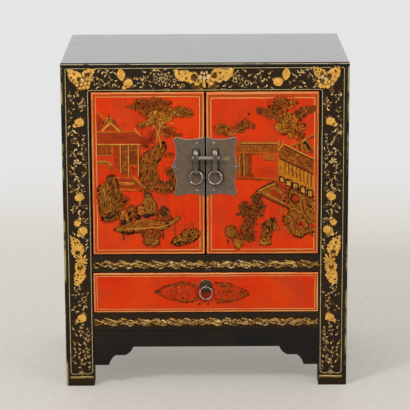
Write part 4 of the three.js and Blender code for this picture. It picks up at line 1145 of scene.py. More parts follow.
def post_gilding(name, flip):
    """A climbing stem with fruit, leaves and one large butterfly, drawn from the outer line inwards."""
    paint = Paint(name, "root", FACE)
    pen = Pen(paint, where=OUTER_LINE - 1 if flip else -OUTER_LINE, flip=flip)
    for line in (
        [6.3+572j, 10+562j, 17+566j, 23+571j], [33+567j, 30.5+561j, 33+556j],
        [21+556j, 26+550j, 33+552j, 31+546j, 27+548j], [7.1+530j, 9+525j, 7.4+521j],
        [11.3+507.5j, 12.2+495j, 18.4+484.5j, 26.8+474.6j, 30.5+469j, 26+460j],
        [29.3+495j, 33.6+489j, 31+482j, 33.4+477j], [24+462j, 17+454j, 18.4+446j],
        [18.4+438j, 14+430j, 15+416j, 20+406j, 22+396j, 18+388j, 22+382j], [31.4+424j, 33.4+418j, 30+413j],
        [22.2+366j, 20+357j, 19.2+340j, 22+336j, 25.1+336j], [31+333j, 34+329j, 31+326j],
        [19.6+316j, 23+304j, 30+297j], [33+293j, 36+286j, 34+280j], [19.6+198j, 15+193j, 11.7+193j],
        [11.7+193j, 15+186.5j, 21.3+186j, 25.1+177j, 26+168j], [31.4+188j, 34+183j, 31+178j],
        [14+160j, 9+159j, 7.1+154.5j, 12.5+149j], [32.6+162.5j, 30+158j, 27.6+155j, 25+146j],
        [23+128j, 22.6+119j, 22.2+111j], [29+114j, 36+112j, 32+106j, 28.8+104j],
        [14.2+112j, 20+105j, 28.8+94j, 38.5+92j], [7.1+80j, 6.6+74j, 12.5+67j, 17.6+59j, 23+51j],
        [14.2+78j, 17.6+71j, 23+67j, 29.3+77j, 27+88j], [17.1+48.5j, 19.5+42j, 18.8+35.5j],
        [31.5+48.5j, 37.2+42j, 34.7+35j],
    ):
        twig(pen, line)
    commas(pen, [
        (6.3+566j, 9+573j, 3.6), (23+567j, 19+573j, 3.6), (27.2+539j, 31+545j, 3.6),
        (15+552.5j, 11+557j, 2.8), (29+556j, 34+560j, 2.6), (7.9+511j, 5+505j, 3.4),
        (14.6+503j, 22.2+498j, 4), (6.3+499j, 4+492j, 3.6), (23+472j, 18+478j, 3.4),
        (20+466j, 14+461j, 4.6), (36+468.5j, 33+463j, 2.2), (25+458j, 30+453j, 3.2),
        (15.5+458j, 11+462j, 3), (5.4+453j, 8+458j, 2.2), (33.4+434j, 29+438j, 2.8),
        (33.4+434j, 37+438j, 2.4), (33.4+434j, 35+428j, 2.4), (13+431j, 8+435j, 3.2),
        (13.8+422j, 8+419j, 3.2), (4.6+425j, 6+420j, 1.8), (15.9+414j, 21+408j, 3.2),
        (18.8+409j, 13+404j, 3.2), (20.9+403j, 26+407j, 3), (22.6+396j, 17+391j, 3.2),
        (31.4+396j, 26+401j, 3.4), (5+384j, 9+389j, 2.8), (18+389j, 13+385j, 2.6), (5.9+349j, 10+354j, 3.4),
        (9.2+343j, 14+347j, 3), (23.8+349j, 23+338j, 4), (31.8+346j, 28+341j, 2.8), (31+333j, 27+330j, 2.4),
        (27.6+294j, 22+298j, 3), (33+288j, 37+292j, 2.6), (12.5+300j, 8+304j, 2.2),
        (37.6+277.5j, 34+270j, 3.4), (19.6+198j, 14+201j, 3.2), (27.6+155j, 31.5+162j, 3.4),
        (8+113j, 5+119j, 3), (26.8+89j, 31+84j, 3.2), (8.4+82j, 5+88j, 3.2), (20+82j, 16+87j, 3),
        (23.8+50j, 19+54j, 3.4), (28.8+53j, 25+58j, 3), (32.2+57j, 36+62j, 3), (23.8+43j, 28+47j, 3),
        (10+62j, 6+57j, 2.6), (11+45j, 7+50j, 2.8), (33+100j, 37+104j, 2.6), (12+100j, 8+105j, 2.4),
        (31+70j, 35+74j, 2.2),
    ])
    for centre, radius in (
        (10+541j, 6.4), (7.4+498j, 4.6), (13+482j, 5.4), (33.6+450j, 4.6), (25+361j, 4.4), (33+355j, 4.6),
        (14+355j, 4.4), (20+197j, 4), (9+180j, 4.6), (20.6+166j, 5.6), (28+172j, 4.6), (9.4+128j, 4.6),
        (22.6+119j, 4), (30+70j, 5), (30+60j, 3.8), (35+326j, 4), (31+420j, 4.4), (31+388j, 4.8),
        (8+396j, 4), (32+96j, 4.4),
    ):
        pen.spiral(centre, radius, chance.uniform(0, 360), chance.choice((-1.3, 1.3)), 0.75,
            chance.choice(TWIG_TONES))
        for k in range(3):
            tip = centre + cmath.rect(radius * chance.uniform(0.8, 1.2), chance.uniform(0, CIRCLE))
            pen.comma(tip, tip + (centre - tip) * 0.6, chance.uniform(1.5, 2.2), 0.4,
                chance.choice(LEAF_TONES), 1)
    fruit(pen, 24.7+517.5j, 8.4, 10)
    fruit(pen, 22.4+374j, 8.4, 35, lobe=False)
    for row in (
        (18 + 324j, 6.4, 215), (27.6 + 308j, 8.6, 20), (23 + 136j, 8.2, 10),
    ):
        fruit(pen, *row)
    for turn, reach in ((15, 8), (70, 7), (135, 7), (200, 6)):
        tip = 18.4+440j + cmath.rect(reach, math.radians(turn))
        pen.comma(tip, 18.4+440j, 3.4, 0.3, STRAW, 1)
    for turn in range(0, 360, 72):
        pen.comma(20.5+26j + cmath.rect(5, math.radians(turn)), 20.5+26j, 1.9, 0.3, TAN, 1)
    butterfly(
        pen,
        wings=[[3.4+298.7j, 7.6+296.5j, 13.5+295j, 18.8+290.7j, 23.6+284.2j, 28.3+278.7j, 29.5+272.2j,
            27.2+265.7j, 23+261.4j, 17.7+266.8j, 14.1+261.4j, 11.4+256j, 6.8+263.6j, 5.1+272.2j, 4.2+280.9j,
            5.1+289.6j], [13.5+246.2j, 10.1+237.6j, 11.8+228.9j, 8.4+218.1j, 9.3+207.2j, 11.4+200.7j,
            16.7+202.5j, 23+205.1j, 27.2+211.6j, 31.4+218.1j, 30.4+226.7j, 32.5+235.4j, 30.4+241.9j,
            24+243j, 17.7+245.8j]],
        body=23 + 250j,
        patches=[(17.4+265.4j, 5.2, 5, BROWN), (20.6+236j, 5.6, 5.4, BROWN), (20+251j, 6.6, 6.6, TAWNY)],
        spots=[12.5+285j, 21.7+281j, 26+275j, 13.4+211j, 22.2+215j, 27+223j, 10+292j],
        petals=[(23+250j, 15+261j, 3.6), (23+250j, 22+263j, 3.6), (23+250j, 31.5+260.5j, 4.2),
            (23+250j, 34.5+253j, 3.8), (23+250j, 34+246j, 4), (23+250j, 14+250j, 3.4),
            (23+250j, 15.6+243.5j, 3.6), (23+250j, 29+239j, 3.8), (23+250j, 21.6+238.5j, 3.6)],
    )
    return paint


# Door scenes: each is drawn on a sheet of squares over its door, counted across and down
SHEET_ROWS = (2.8, 155.7)
LEFT_COLUMNS, RIGHT_COLUMNS = (4.5, 114.0), (6.0, 113.5)
OCHRE, UMBER, OLIVE, SOOT = srgb(186, 106, 24), srgb(140, 66, 12), srgb(150, 92, 20), srgb(80, 42, 8)
BRICK, HONEY, EMBER, TILE = srgb(168, 54, 8), srgb(196, 118, 22), srgb(158, 58, 8), srgb(152, 76, 12)
STAIN, HAZE, BARK, RED_HOLE = srgb(166, 44, 6), srgb(194, 50, 6), srgb(108, 54, 12), srgb(216, 44, 8)
GILT, INK, SIENNA = srgb(214, 146, 46), srgb(44, 26, 10), srgb(140, 58, 8)
GOLDS = (OCHRE, OLIVE, UMBER, OCHRE, GILT, EMBER, EMBER)
BROWNS = (UMBER, OLIVE, BARK, EMBER, OCHRE, UMBER, EMBER)
BRIGHTS = (OCHRE, HONEY, EMBER, GILT, OCHRE, UMBER)
DARKS = (SOOT, UMBER, BARK, OLIVE, EMBER)
RUSTS = (SIENNA, BRICK, UMBER)
# Leaves of a cloud turn round its middle by this angle from one to the next, so that they fill it evenly
LEAF_TURN, RIM_STEPS = 2.4, 1.6
CLOSE, LOOSE = 1.7, 0.7
THINNING, OUTSIDE, GAP_CHANCE = 0.68, 0.86, 0.16


class Sheet(Pen):
    """A pen over a door's front, whose unit is a square of about 2 mm, counted from the door's upper left."""

    def __init__(self, paint, low, high, columns):
        super().__init__(paint)
        self.low, self.high, self.columns = low, high, columns
        self.scale = (high.z - low.z) / (SHEET_ROWS[1] - SHEET_ROWS[0])

    def map(self, point):
        point = complex(point)
        across = (point.real - self.columns[0]) / (self.columns[1] - self.columns[0])
        down = (point.imag - SHEET_ROWS[0]) / (SHEET_ROWS[1] - SHEET_ROWS[0])
        return complex(self.low.x + across * (self.high.x - self.low.x),
                       self.high.z - down * (self.high.z - self.low.z))


def inside(point, outline):
    """Whether a point lies inside a closed outline."""
    found = False
    for a, b in zip(outline, outline[1:] + outline[:1]):
        if (a.imag > point.imag) != (b.imag > point.imag):
            crossing = a.real + (point.imag - a.imag) / (b.imag - a.imag) * (b.real - a.real)
            found = found != (point.real < crossing)
    return found


def foliage(pen, centre, wide, tall, count, tones, length=1.8, width=0.8, coat=1):
    """Short strokes strewn over an oval."""
    for _ in range(count):
        reach, angle = math.sqrt(chance.random()), chance.uniform(0, 2 * math.pi)
        spot = centre + complex(wide * reach * math.cos(angle), tall * reach * math.sin(angle))
        tip = spot + cmath.rect(length * chance.uniform(0.7, 1.3), chance.uniform(0, 2 * math.pi))
        bow = chance.uniform(-0.4, 0.4)
        pen.comma(spot, tip, width, bow, chance.choice(tones), coat + chance.randrange(2))


def scatter(outline):
    """Random points, without end, in the box round an outline."""
    left, right = min(p.real for p in outline), max(p.real for p in outline)
    top, bottom = min(p.imag for p in outline), max(p.imag for p in outline)
    while True:
        yield complex(chance.uniform(left, right), chance.uniform(top, bottom))


def mottle(pen, outline, count, tones, radius, coat=1):
    """Ragged blots strewn inside an outline."""
    spots, made = scatter(outline), 0
    while made < count:
        spot = next(spots)
        if inside(spot, outline):
            clump(pen, spot, radius * chance.uniform(0.6, 1.3), chance.choice(tones), coat + made % 2)
            made += 1


def hatch(pen, outline, count, lean, tones, length=3.2, width=0.6, coat=1):
    """Strokes that lean one way, strewn inside an outline."""
    spots, made = scatter(outline), 0
    while made < count:
        spot = next(spots)
        turn = math.radians(lean + chance.uniform(-14, 14))
        tip = spot + cmath.rect(length * chance.uniform(0.6, 1.3), turn)
        if inside(spot, outline) and inside(tip, outline):
            pen.comma(spot, tip, width, chance.uniform(-0.12, 0.12), chance.choice(tones), coat + made % 2)
            made += 1


def halo(pen, outline, tone, coat=0):
    """A soft stain and a darker rim round a painted shape, as of old varnish."""
    middle = sum(outline) / len(outline)
    for point in smooth(outline, closed=True)[::2]:
        away = (point - middle) / (abs(point - middle) or 1)
        clump(pen, point + away * chance.uniform(0.7, 1.5), chance.uniform(0.7, 1.3), HAZE, coat - 0.5)
        clump(pen, point + away * chance.uniform(0.1, 0.7), chance.uniform(0.7, 1.2), tone, coat)


def rock(pen, outline, ground, count, lean, tones, coat=0):
    """A rock: a soft stained rim, a mottled ground and strokes that follow its lean."""
    halo(pen, outline, STAIN, coat)
    pen.fill(outline, ground, coat)
    for before, after in zip(outline, outline[1:] + outline[:1]):
        for share in (0.0, 0.33, 0.66):
            shift = complex(chance.uniform(-0.8, 0.8), chance.uniform(-0.8, 0.8))
            size = chance.uniform(0.7, 1.3)
            clump(pen, before + (after - before) * share + shift, size, chance.choice((*tones, BARK)), coat)
    mottle(pen, outline, round(count * 0.5), (*tones, ground), 1.3, coat + 1)
    hatch(pen, outline, count, lean, tones, 4.6, 0.8, coat + 2)


def cloud(pen, centre, wide, tall, count, tones, ground=None):
    """A lobed cloud of leaves: ragged blots, closer where it has a ground, with strokes over them."""
    blots = round(wide * tall * (CLOSE if ground else LOOSE))
    phase = chance.uniform(0, CIRCLE)
    rim = round(RIM_STEPS * (wide + tall))
    for k in range(rim):
        spot = cmath.rect(chance.uniform(0.96, 1.2), 2 * math.pi * k / rim)
        clump(pen, centre + complex(wide * spot.real, tall * spot.imag), chance.uniform(0.8, 1.6), HAZE, -0.5)
    for number in range(blots):
        reach, angle = math.sqrt((number + 0.5) / blots), LEAF_TURN * number
        reach *= 1 + 0.16 * math.sin(3 * angle + phase) + 0.12 * math.sin(5 * angle + 2 * phase)
        spot = centre + complex(wide * reach * math.cos(angle), tall * reach * math.sin(angle))
        if reach > THINNING and chance.random() < GAP_CHANCE:
            clump(pen, spot, chance.uniform(0.8, 1.4), HAZE, 0)
        elif reach > OUTSIDE:
            clump(pen, spot, chance.uniform(0.8, 1.5), chance.choice((STAIN, EMBER, EMBER, BARK)), 0)
        else:
            tone = ground if ground and number % 2 else chance.choice(tones)
            clump(pen, spot, chance.uniform(0.9, 1.6), tone, 1 + number % 2)
    foliage(pen, centre, wide * 0.94, tall * 0.94, round(count * 0.8), tones, coat=3)


def robe(pen, outline, ground, folds, edge=None, coat=2):
    """A draped figure seen small: a stained rim, a mottled shape and a few folds."""
    halo(pen, outline, edge or BARK, coat)
    pen.fill(outline, ground, coat)
    mottle(pen, outline, round(len(outline) * 1.6), (ground, OCHRE, EMBER, UMBER, GILT), 0.9, coat + 1)
    hatch(pen, outline, 2 * len(outline), 80, (GILT, OCHRE, OLIVE, BRICK, BARK), 1.7, 0.7, coat + 2)
    for fold in folds:
        pen.line(fold, 0.7, edge or SOOT, coat + 3)


def pavilion(pen):
    pen.panel([10+21j, 17.6+31j, 14+38.4j, 10+38.4j], BRICK)
    hatch(pen, [10+22j, 17.6+31j, 14+38j, 10+38j], 16, 60, (SIENNA, SOOT), 2.2, 0.3)
    pen.line([9.6+20.4j, 13.6+24j, 18.4+28.6j], 1, OCHRE, 1, "even")
    pen.panel([16+38.2j, 23.2+32.6j, 30.4+38.2j], BRICK, 1)
    hatch(pen, [17+38j, 23.2+33j, 29.6+38j], 14, 90, (SOOT, SIENNA), 1.4, 0.3, 2)
    for row in (
        ([14.6+38.8j, 23.2+31.4j], 1.7, GILT, 4), ([23.2+31.4j, 32+38.8j], 1.7, GILT, 4),
        ([27+31j, 33+38.6j], 0.7, UMBER, 1),
    ):
        pen.straight(*row)
    crest = [16+32j, 18+28.4j, 20.4+27j, 22.4+25.6j, 25+27.6j, 28+30.6j, 29+33j, 26.4+32.8j, 23.2+30j,
        19.6+33.4j]
    pen.panel(crest, UMBER)
    foliage(pen, 22.4+29.4j, 5.6, 3, 44, (GILT, OCHRE, GILT, UMBER), 1.6, 0.7, 1)
    for step in range(5):
        pen.comma(26 + 1.5 * step + (28 + 2.1 * step) * 1j, 28 + 1.5 * step + (28.6 + 2.1 * step) * 1j, 1.2,
            0.2, UMBER, 1)
    pen.leaf(22+27j, 22+22.4j, 1.9, UMBER, INK, 2)
    pen.comma(27+28j, 28.6+31j, 1.2, 0.2, UMBER, 2)
    pen.straight([9.8+40j, 30+39.8j, 48+39.4j], 1.2, OCHRE, 2)
    pen.straight([9.8+41j, 48+40.5j], 0.5, SIENNA, 2)
    pen.line([47+36.2j, 48.4+39.6j, 51.4+42.4j, 54+44.4j], 1.1, GILT, 3, "tail")
    roof = [10+41.4j, 50.6+41.4j, 53+46.4j, 52.4+50j, 10+50.2j]
    pen.panel(roof, BRICK)
    for column in range(20):
        x = 11.4 + 2.05 * column
        pen.straight([x + 42j, x + 0.3 + 49.6j], 0.28, SIENNA, 1)
    pen.straight([10+51.4j, 52.4+51.6j], 1, GILT, 2)
    pen.straight([10+50.2j, 52.4+50.2j], 0.4, SIENNA, 1)
    foliage(pen, 17+50.6j, 5, 1, 14, (GILT, OCHRE), 1.2, 0.6, 3)
    pen.panel([10+52.6j, 24.4+52.6j, 24.4+61.4j, 10+61.4j], SIENNA)
    hatch(pen, [10+52.6j, 24.4+52.6j, 24.4+61.4j, 10+61.4j], 46, 90, (BRICK, OCHRE, UMBER), 1.6, 0.4)
    for x in (14.6, 19.4, 24.2):
        pen.straight([x + 52.4j, x + 61.6j], 0.6, OCHRE, 2)
    pen.straight([10+61.6j, 24.6+61.6j], 0.8, OCHRE, 2)
    pen.panel([26+53j, 31.2+53j, 31.2+76j, 26+72j], BRICK)
    pen.straight([31.6+52.4j, 31.6+77j], 0.4, SIENNA, 1)
    pen.straight([25.4+52.4j, 25.4+61j], 0.5, OCHRE, 1)
    panel = [32.4+52.6j, 39.6+52.6j, 39.6+80.4j, 32.4+78j]
    pen.panel(panel, UMBER)
    hatch(pen, panel, 90, 75, (OCHRE, GILT, SIENNA, OLIVE), 1.7, 0.42)
    pen.panel([41+57.4j, 49.2+57.4j, 49.2+70.6j, 41+70.6j], SIENNA)
    hatch(pen, [41+57.4j, 49.2+57.4j, 49.2+70.6j, 41+70.6j], 50, 90, (BRICK, SOOT, SIENNA), 2.2, 0.4)
    pen.panel([41+53j, 49.2+53j, 49.2+56.4j, 41+56.4j], UMBER)
    foliage(pen, 45+75.6j, 3.6, 4.4, 40, (EMBER, BRICK, UMBER, STAIN), 1.8, 0.8)
    for x, low in ((32.4, 78.4), (40.3, 82), (49.8, 81.6)):
        pen.straight([x + 0.8 + 52.4j, x + 0.8 + low * 1j], 0.5, BARK, 2)
        pen.straight([x + 52j, x + low * 1j], 0.8, GILT, 3)
    pen.straight([10+52.4j, 52+52.6j], 0.6, BARK, 1)
    pen.straight([51.6+52j, 51+66j, 52+82j], 0.9, UMBER, 2)
    for y in (57, 70.8):
        pen.straight([40.4 + y * 1j, 49.6 + y * 1j], 0.6, OCHRE, 2)


def terrace(pen):
    pen.line([9.6+68.6j, 15+68.4j, 20+69.2j, 23+72j, 23.6+75j], 3, OLIVE, 1, "even")
    pen.line([9.8+67.2j, 15+67j, 20.4+67.8j, 24.2+71.2j], 0.6, GILT, 3, "even")
    hatch(pen, [10+67j, 20+67.6j, 24+71j, 23.6+75j, 20+72j, 10+70.6j], 22, 80, GOLDS, 1.4, 0.4, 2)
    for row in (
        ([24+73.6j, 30+77.6j, 39.6+81j], 0.7, SIENNA, 1, "even"),
        ([22+75.4j, 28+79.8j, 38+82.6j], 0.5, BRICK, 1, "even"), ([20+74j, 21.4+77.6j], 0.8, SOOT, 2),
    ):
        pen.line(*row)
    pen.panel([27+83.6j, 42+84j, 50+88j, 50+93j, 31+92.6j, 28+88j], BRICK)
    for row in (
        ([27.4+82.4j, 41+83j], 1, OCHRE, 2), ([31+88.2j, 45+88.8j], 2.3, OCHRE, 2),
        ([31+87j, 45+87.6j], 0.5, GILT, 3), ([29.6+93.6j, 50+94.4j], 1.4, OCHRE, 2),
        ([29+95.6j, 58+96.2j], 0.5, BRICK, 1),
    ):
        pen.straight(*row)
    hatch(pen, [28+81j, 50+82j, 56+95j, 30+95j], 40, 5, (SIENNA, UMBER, BRICK), 2.4, 0.4, 1)
    for row in (
        ([43.6+82.4j, 55.6+93j], 2.2, OLIVE, 3), ([43.4+84j, 54+93.4j], 0.4, INK, 4),
        ([45+81.6j, 56.6+92.4j], 0.5, GILT, 4),
    ):
        pen.straight(*row)


def left_trees(pen):
    for row in (
        (46 + 16.4j, 6, 1.9, 26, BROWNS, UMBER), (53 + 12.6j, 6.6, 3.8, 50, BROWNS, UMBER),
        (66 + 11.8j, 9, 3.6, 70, BROWNS, UMBER), (76 + 13j, 6, 2.6, 40, BROWNS, EMBER),
        (61 + 18j, 12.4, 4, 90, BROWNS, UMBER), (73 + 18.4j, 8, 3.6, 60, BROWNS, OLIVE),
        (56 + 22.4j, 4.4, 1.8, 22, BROWNS, EMBER), (91 + 21j, 6.6, 5, 70, GOLDS, OLIVE),
        (98 + 22.6j, 5, 4, 46, BROWNS, OLIVE), (70 + 25.6j, 12.4, 5, 130, GOLDS, OCHRE),
        (67 + 31j, 8.6, 3.4, 60, GOLDS, EMBER), (81 + 22.6j, 4.6, 4, 40, GOLDS, OLIVE),
        (53.4 + 33.6j, 4.6, 3, 34, BROWNS, UMBER), (79 + 39.6j, 6.4, 5, 60, BROWNS, EMBER),
        (74 + 37j, 4.6, 4.4, 40, GOLDS, None), (88 + 43j, 4.2, 1.7, 22, RUSTS, EMBER),
        (56.6 + 50j, 4, 5, 16, RUSTS, STAIN), (63.6 + 45j, 2.4, 5.6, 14, RUSTS, STAIN),
    ):
        cloud(pen, *row)
    for branch in (
        [54+36.6j, 53.6+44j, 57+51j, 62+54.6j], [62+36j, 60.6+42j, 63+47j, 58+51.6j],
        [66+36j, 66.6+43j, 64.6+50j], [54.6+52j, 60+56j, 66+54j],
    ):
        pen.line(branch, 1.1, STAIN, 1, "tail")
        foliage(pen, branch[1], 3, 4.4, 14, RUSTS, 1.7, 0.6)
    for limb, width in (
        ([71.6+54j, 71+47j, 69.6+42j, 71+37j, 74+32.6j, 80+29j, 84.6+25.6j], 1.3),
        ([68+50j, 68.6+42j, 67.6+34.6j, 69.6+31j, 67+30j], 1), ([69+43j, 76+42.4j, 80+44.6j], 0.8),
        ([72+34.6j, 70+31.4j, 66+30.4j, 61+33.4j], 0.8), ([76+31.6j, 77+27j, 74+23.6j, 70+22.6j], 0.7),
        ([78+30j, 82+24.6j, 88+20.6j, 93+20j], 0.7), ([71+31j, 68+26j, 63+24.4j, 59+26j], 0.7),
        ([66+26j, 65+21.4j, 61+18.6j], 0.6), ([62+28j, 57+30j, 52.6+33.6j, 48+36.4j], 0.7),
        ([74+28j, 80+26.6j, 84+22j], 0.6),
    ):
        pen.line([p + 0.5 + 0.4j for p in limb], width, BARK, 4, "tail")
        pen.line(limb, width * 0.8, GILT, 5, "tail")
    for k in range(26):
        spot = complex(chance.uniform(59, 84), chance.uniform(20, 34))
        turn = chance.uniform(0, CIRCLE)
        pen.line([spot, spot + cmath.rect(2, turn), spot + cmath.rect(3.4, turn + 0.7)], 0.55,
            chance.choice((GILT, GILT, GOLD)), 5)


def left_rocks(pen):
    rock(pen, [72+50j, 76+50.6j, 76.6+57j, 72.6+63j, 70+67j, 67.6+72j, 67.4+79j, 71+85j, 77+88j, 81+85.6j,
        85.6+80.6j, 86+92.6j, 78+95j, 68+94j, 58+93.6j, 53+89j, 51+80j, 51+70j, 53.4+62.6j, 58+59j, 64+55j],
        UMBER, 230, 98, (OLIVE, OCHRE, BARK, EMBER))
    hatch(pen, [68+53j, 76+51j, 76.4+57j, 70+66j, 67.4+76j, 70+85j, 84+84j, 85.4+92j, 70+93.4j, 62+88j,
        63+72j], 70, 95, (SOOT, BARK, OLIVE), 3.6, 0.7, 4)
    for blot, wide, tall in ((82+79j, 4.6, 4), (84+90j, 3.6, 4), (58+95j, 6, 1.2), (74+95.6j, 7, 1.2)):
        cloud(pen, blot, wide, tall, 26, BROWNS, BARK)
    for limb in (
        [66.4+55j, 63+62j, 62+72j, 60+84j], [58+60.4j, 56+70j, 56.6+84j], [70+56j, 68+64j, 64.6+72j],
    ):
        pen.line(limb, 0.9, OCHRE, 4, "tail")
    for row in (
        (80 + 61.6j, 5, 2.6, 44, RUSTS, 2.2, 0.8), (79 + 74.6j, 5.6, 2.6, 50, RUSTS, 2.2, 0.8),
        (77 + 97.4j, 8, 2.2, 50, RUSTS, 1.5, 0.55), (82 + 67j, 3, 3, 12, RUSTS, 1.6, 0.4),
    ):
        foliage(pen, *row)
    tall = [20.4+81j, 26+81j, 28.6+87j, 31+95j, 35+101j, 37+106j, 34+110.6j, 30.6+113j, 31.6+118j,
        26.6+122.6j, 18+124.6j, 13.6+122j, 12+116j, 11+108j, 9.8+97j, 11.2+91j, 17+87.4j]
    rock(pen, tall, OLIVE, 190, 96, (OCHRE, UMBER, BARK, OLIVE))
    hatch(pen, [20+81j, 24+82j, 27+94j, 29+104j, 24+108j, 20+96j], 40, 92, (SOOT, BARK), 3.6, 0.8, 4)
    hatch(pen, [14+117j, 20+115j, 29.6+113j, 29+118.6j, 23+122j, 16+122.6j], 50, 160, (INK, SOOT, INK), 2.8,
        0.9, 4)
    cloud(pen, 35.6+103.6j, 4.6, 3.4, 24, RUSTS, EMBER)
    for blade in (
        [22+112j, 27+102j, 34+96.6j], [23+114j, 29+105.6j, 38+101j], [24+116j, 30+109.6j, 40+106.6j],
        [25+117j, 31+113j, 37.6+111j], [20+110j, 22.6+98j, 28+90j],
    ):
        pen.line(blade, 2.2, BARK, 3, "tail")
        pen.line([p - 0.5 - 0.5j for p in blade], 1.3, OLIVE, 4, "tail")
    for limb in ([15+92j, 17+100j, 18.6+110j], [19+88j, 21+96j, 22+106j, 20+114j]):
        pen.line(limb, 0.9, GILT, 4, "tail")
    foliage(pen, 33+104j, 7.4, 6.4, 60, (UMBER, SIENNA, OCHRE, BRICK), 1.8, 0.6)
    foliage(pen, 31+109j, 4.6, 2, 26, GOLDS, 1.8, 0.6, 2)
    low = [81.6+145j, 84+140.6j, 88+138.6j, 92+136j, 95+133.4j, 100+132.8j, 105+132j, 108.4+135j,
        107.6+139.4j, 103+143j, 96+146j, 88+147.4j]
    rock(pen, low, OLIVE, 90, 150, (OCHRE, UMBER, BARK, GILT))
    hatch(pen, [83+145j, 92+142j, 102+141j, 96+146j, 88+147j], 30, 165, (INK, SOOT), 2.6, 0.8, 4)
    for spike in (
        [92+136j, 95+131j, 96.6+127.6j], [97+133j, 100+127j, 101+121.6j], [102+132j, 103+127j, 104+124j],
        [94+135j, 94.6+130j],
    ):
        pen.line(spike, 1.7, EMBER, 1, "tail")
        pen.line(spike, 0.8, UMBER, 2, "tail")


def table_group(pen):
    """Small robed figures round a long table."""
    for row in (
        ([32.4+115j, 36+113.6j, 40+115.6j, 41+121j, 39+127j, 34+128j, 31.6+122j], OCHRE,
            [[34+117j, 36+121j, 35+126j], [38+116j, 38.6+121j]]),
        ([39+114j, 40.6+110j, 44+109.6j, 47+112j, 47.2+117j, 44+119.6j, 40+119j], UMBER,
            [[41+112j, 42.4+116j], [45+111.6j, 45.6+116j]]),
        ([48+115j, 49+110.4j, 52.6+109.2j, 55.4+111.6j, 56+116j, 53+118.6j, 49.4+118j], OCHRE,
            [[50.6+111.6j, 51+115.6j], [53.6+111.6j, 54+116j]]),
        ([56+100j, 58+97.6j, 61.6+98.6j, 63+103j, 66+106.6j, 67+112j, 64.6+117.6j, 57+118.6j, 54.6+112j,
            55+105j], OLIVE, [[58+103j, 60+108j, 58.6+114j], [62+104.6j, 63.6+110j, 62+116j],
            [56.6+106j, 57+111j]]),
    ):
        robe(pen, *row)
    pen.line([53.4+98.6j, 57+97j, 60.6+97.2j, 62.6+99.4j], 1.1, SOOT, 5)
    hatch(pen, [56+100j, 61.6+99j, 66+107j, 66.6+112j, 64+117j, 57.4+118j, 55+112j], 36, 80,
        (OCHRE, GILT, UMBER), 1.8, 0.5, 4)
    robe(pen, [68+118j, 71+113j, 74+110.4j, 77.6+112j, 80+118j, 83+124j, 76+128j, 69+126j], SIENNA,
        [[72+119j, 74+125j], [78+119j, 79+125j]])
    pen.dot(74.4+114.8j, 4.2, SOOT, 4, 1.15)
    foliage(pen, 74.4+114.6j, 3.4, 4.2, 30, (UMBER, OLIVE, SOOT), 1.4, 0.5, 5)
    table = [27+131.4j, 33+128j, 42+124.6j, 52+122.4j, 64+123j, 74+124.4j, 82+123j, 87.6+119.8j,
        89.2+121.4j, 82+127j, 74+130.6j, 60+132j, 44+133.2j, 31+133.8j]
    pen.fill(table, OLIVE, 3)
    halo(pen, table, BARK, 2)
    mottle(pen, table, 60, (OCHRE, OLIVE, EMBER, UMBER, BRICK), 1.1, 4)
    hatch(pen, table, 60, 172, (OCHRE, OLIVE, BRICK, SIENNA), 2, 0.7, 5)
    pen.line([27+131.6j, 40+131.2j, 60+130.4j, 74+129j, 83+125j, 89+120.8j], 0.8, GILT, 6)
    pen.line([28+133j, 36+135.6j, 50+134.4j, 62+133.4j, 74+132.4j, 80+129j], 1.8, SOOT, 3)
    mottle(pen, [33+133j, 48+133j, 46+137j, 38+137.6j], 16, (SOOT, INK, BARK), 1.2, 3)
    mottle(pen, [68+127j, 80+124j, 80+131j, 70+133j], 20, (OLIVE, EMBER, BARK), 1.2, 4)
    for centre, wide, tall in (
        (35+125j, 3, 2.6), (41.4+121.8j, 2.2, 1.4), (48.6+120.4j, 3, 2.6), (57.4+118.8j, 4.2, 2.2),
        (63+117.6j, 2.2, 1.6),
    ):
        pen.dot(centre, wide, INK, 5, tall / wide)
        pen.dot(centre - 0.8 - 0.8j, 0.5, OLIVE, 6)
    pen.dot(56.6+126.6j, 1, BRICK, 6)
    for leg, width in (
        ([33.4+133.6j, 34.4+137j, 34.8+141.4j], 1.9), ([72.4+131j, 73.4+136j, 73.2+141.4j], 1.9),
        ([38+135j, 42+135.8j], 1.4), ([85.4+123.6j, 84.8+131j, 85+140j], 0.7),
    ):
        pen.line(leg, width, BARK, 3, "even")
    robe(pen, [57+133j, 62+131.6j, 68+133j, 70.6+138j, 68+141j, 68.6+146j, 62+147.6j, 56+146.4j, 55+141j,
        53.6+137j], SIENNA, [[60+135j, 62+139j], [66+135j, 67+139j]], coat=5)
    robe(pen, [55.4+141.4j, 62+139.6j, 68+141.4j, 68.4+145.6j, 62+147j, 56+146j], OLIVE,
        [[59+142j, 59.4+145.6j], [64+141.6j, 64.4+146j]], coat=7)
    foliage(pen, 61.6+136.6j, 5.6, 3.4, 34, (UMBER, SIENNA, SOOT, OLIVE), 1.6, 0.5, 7)


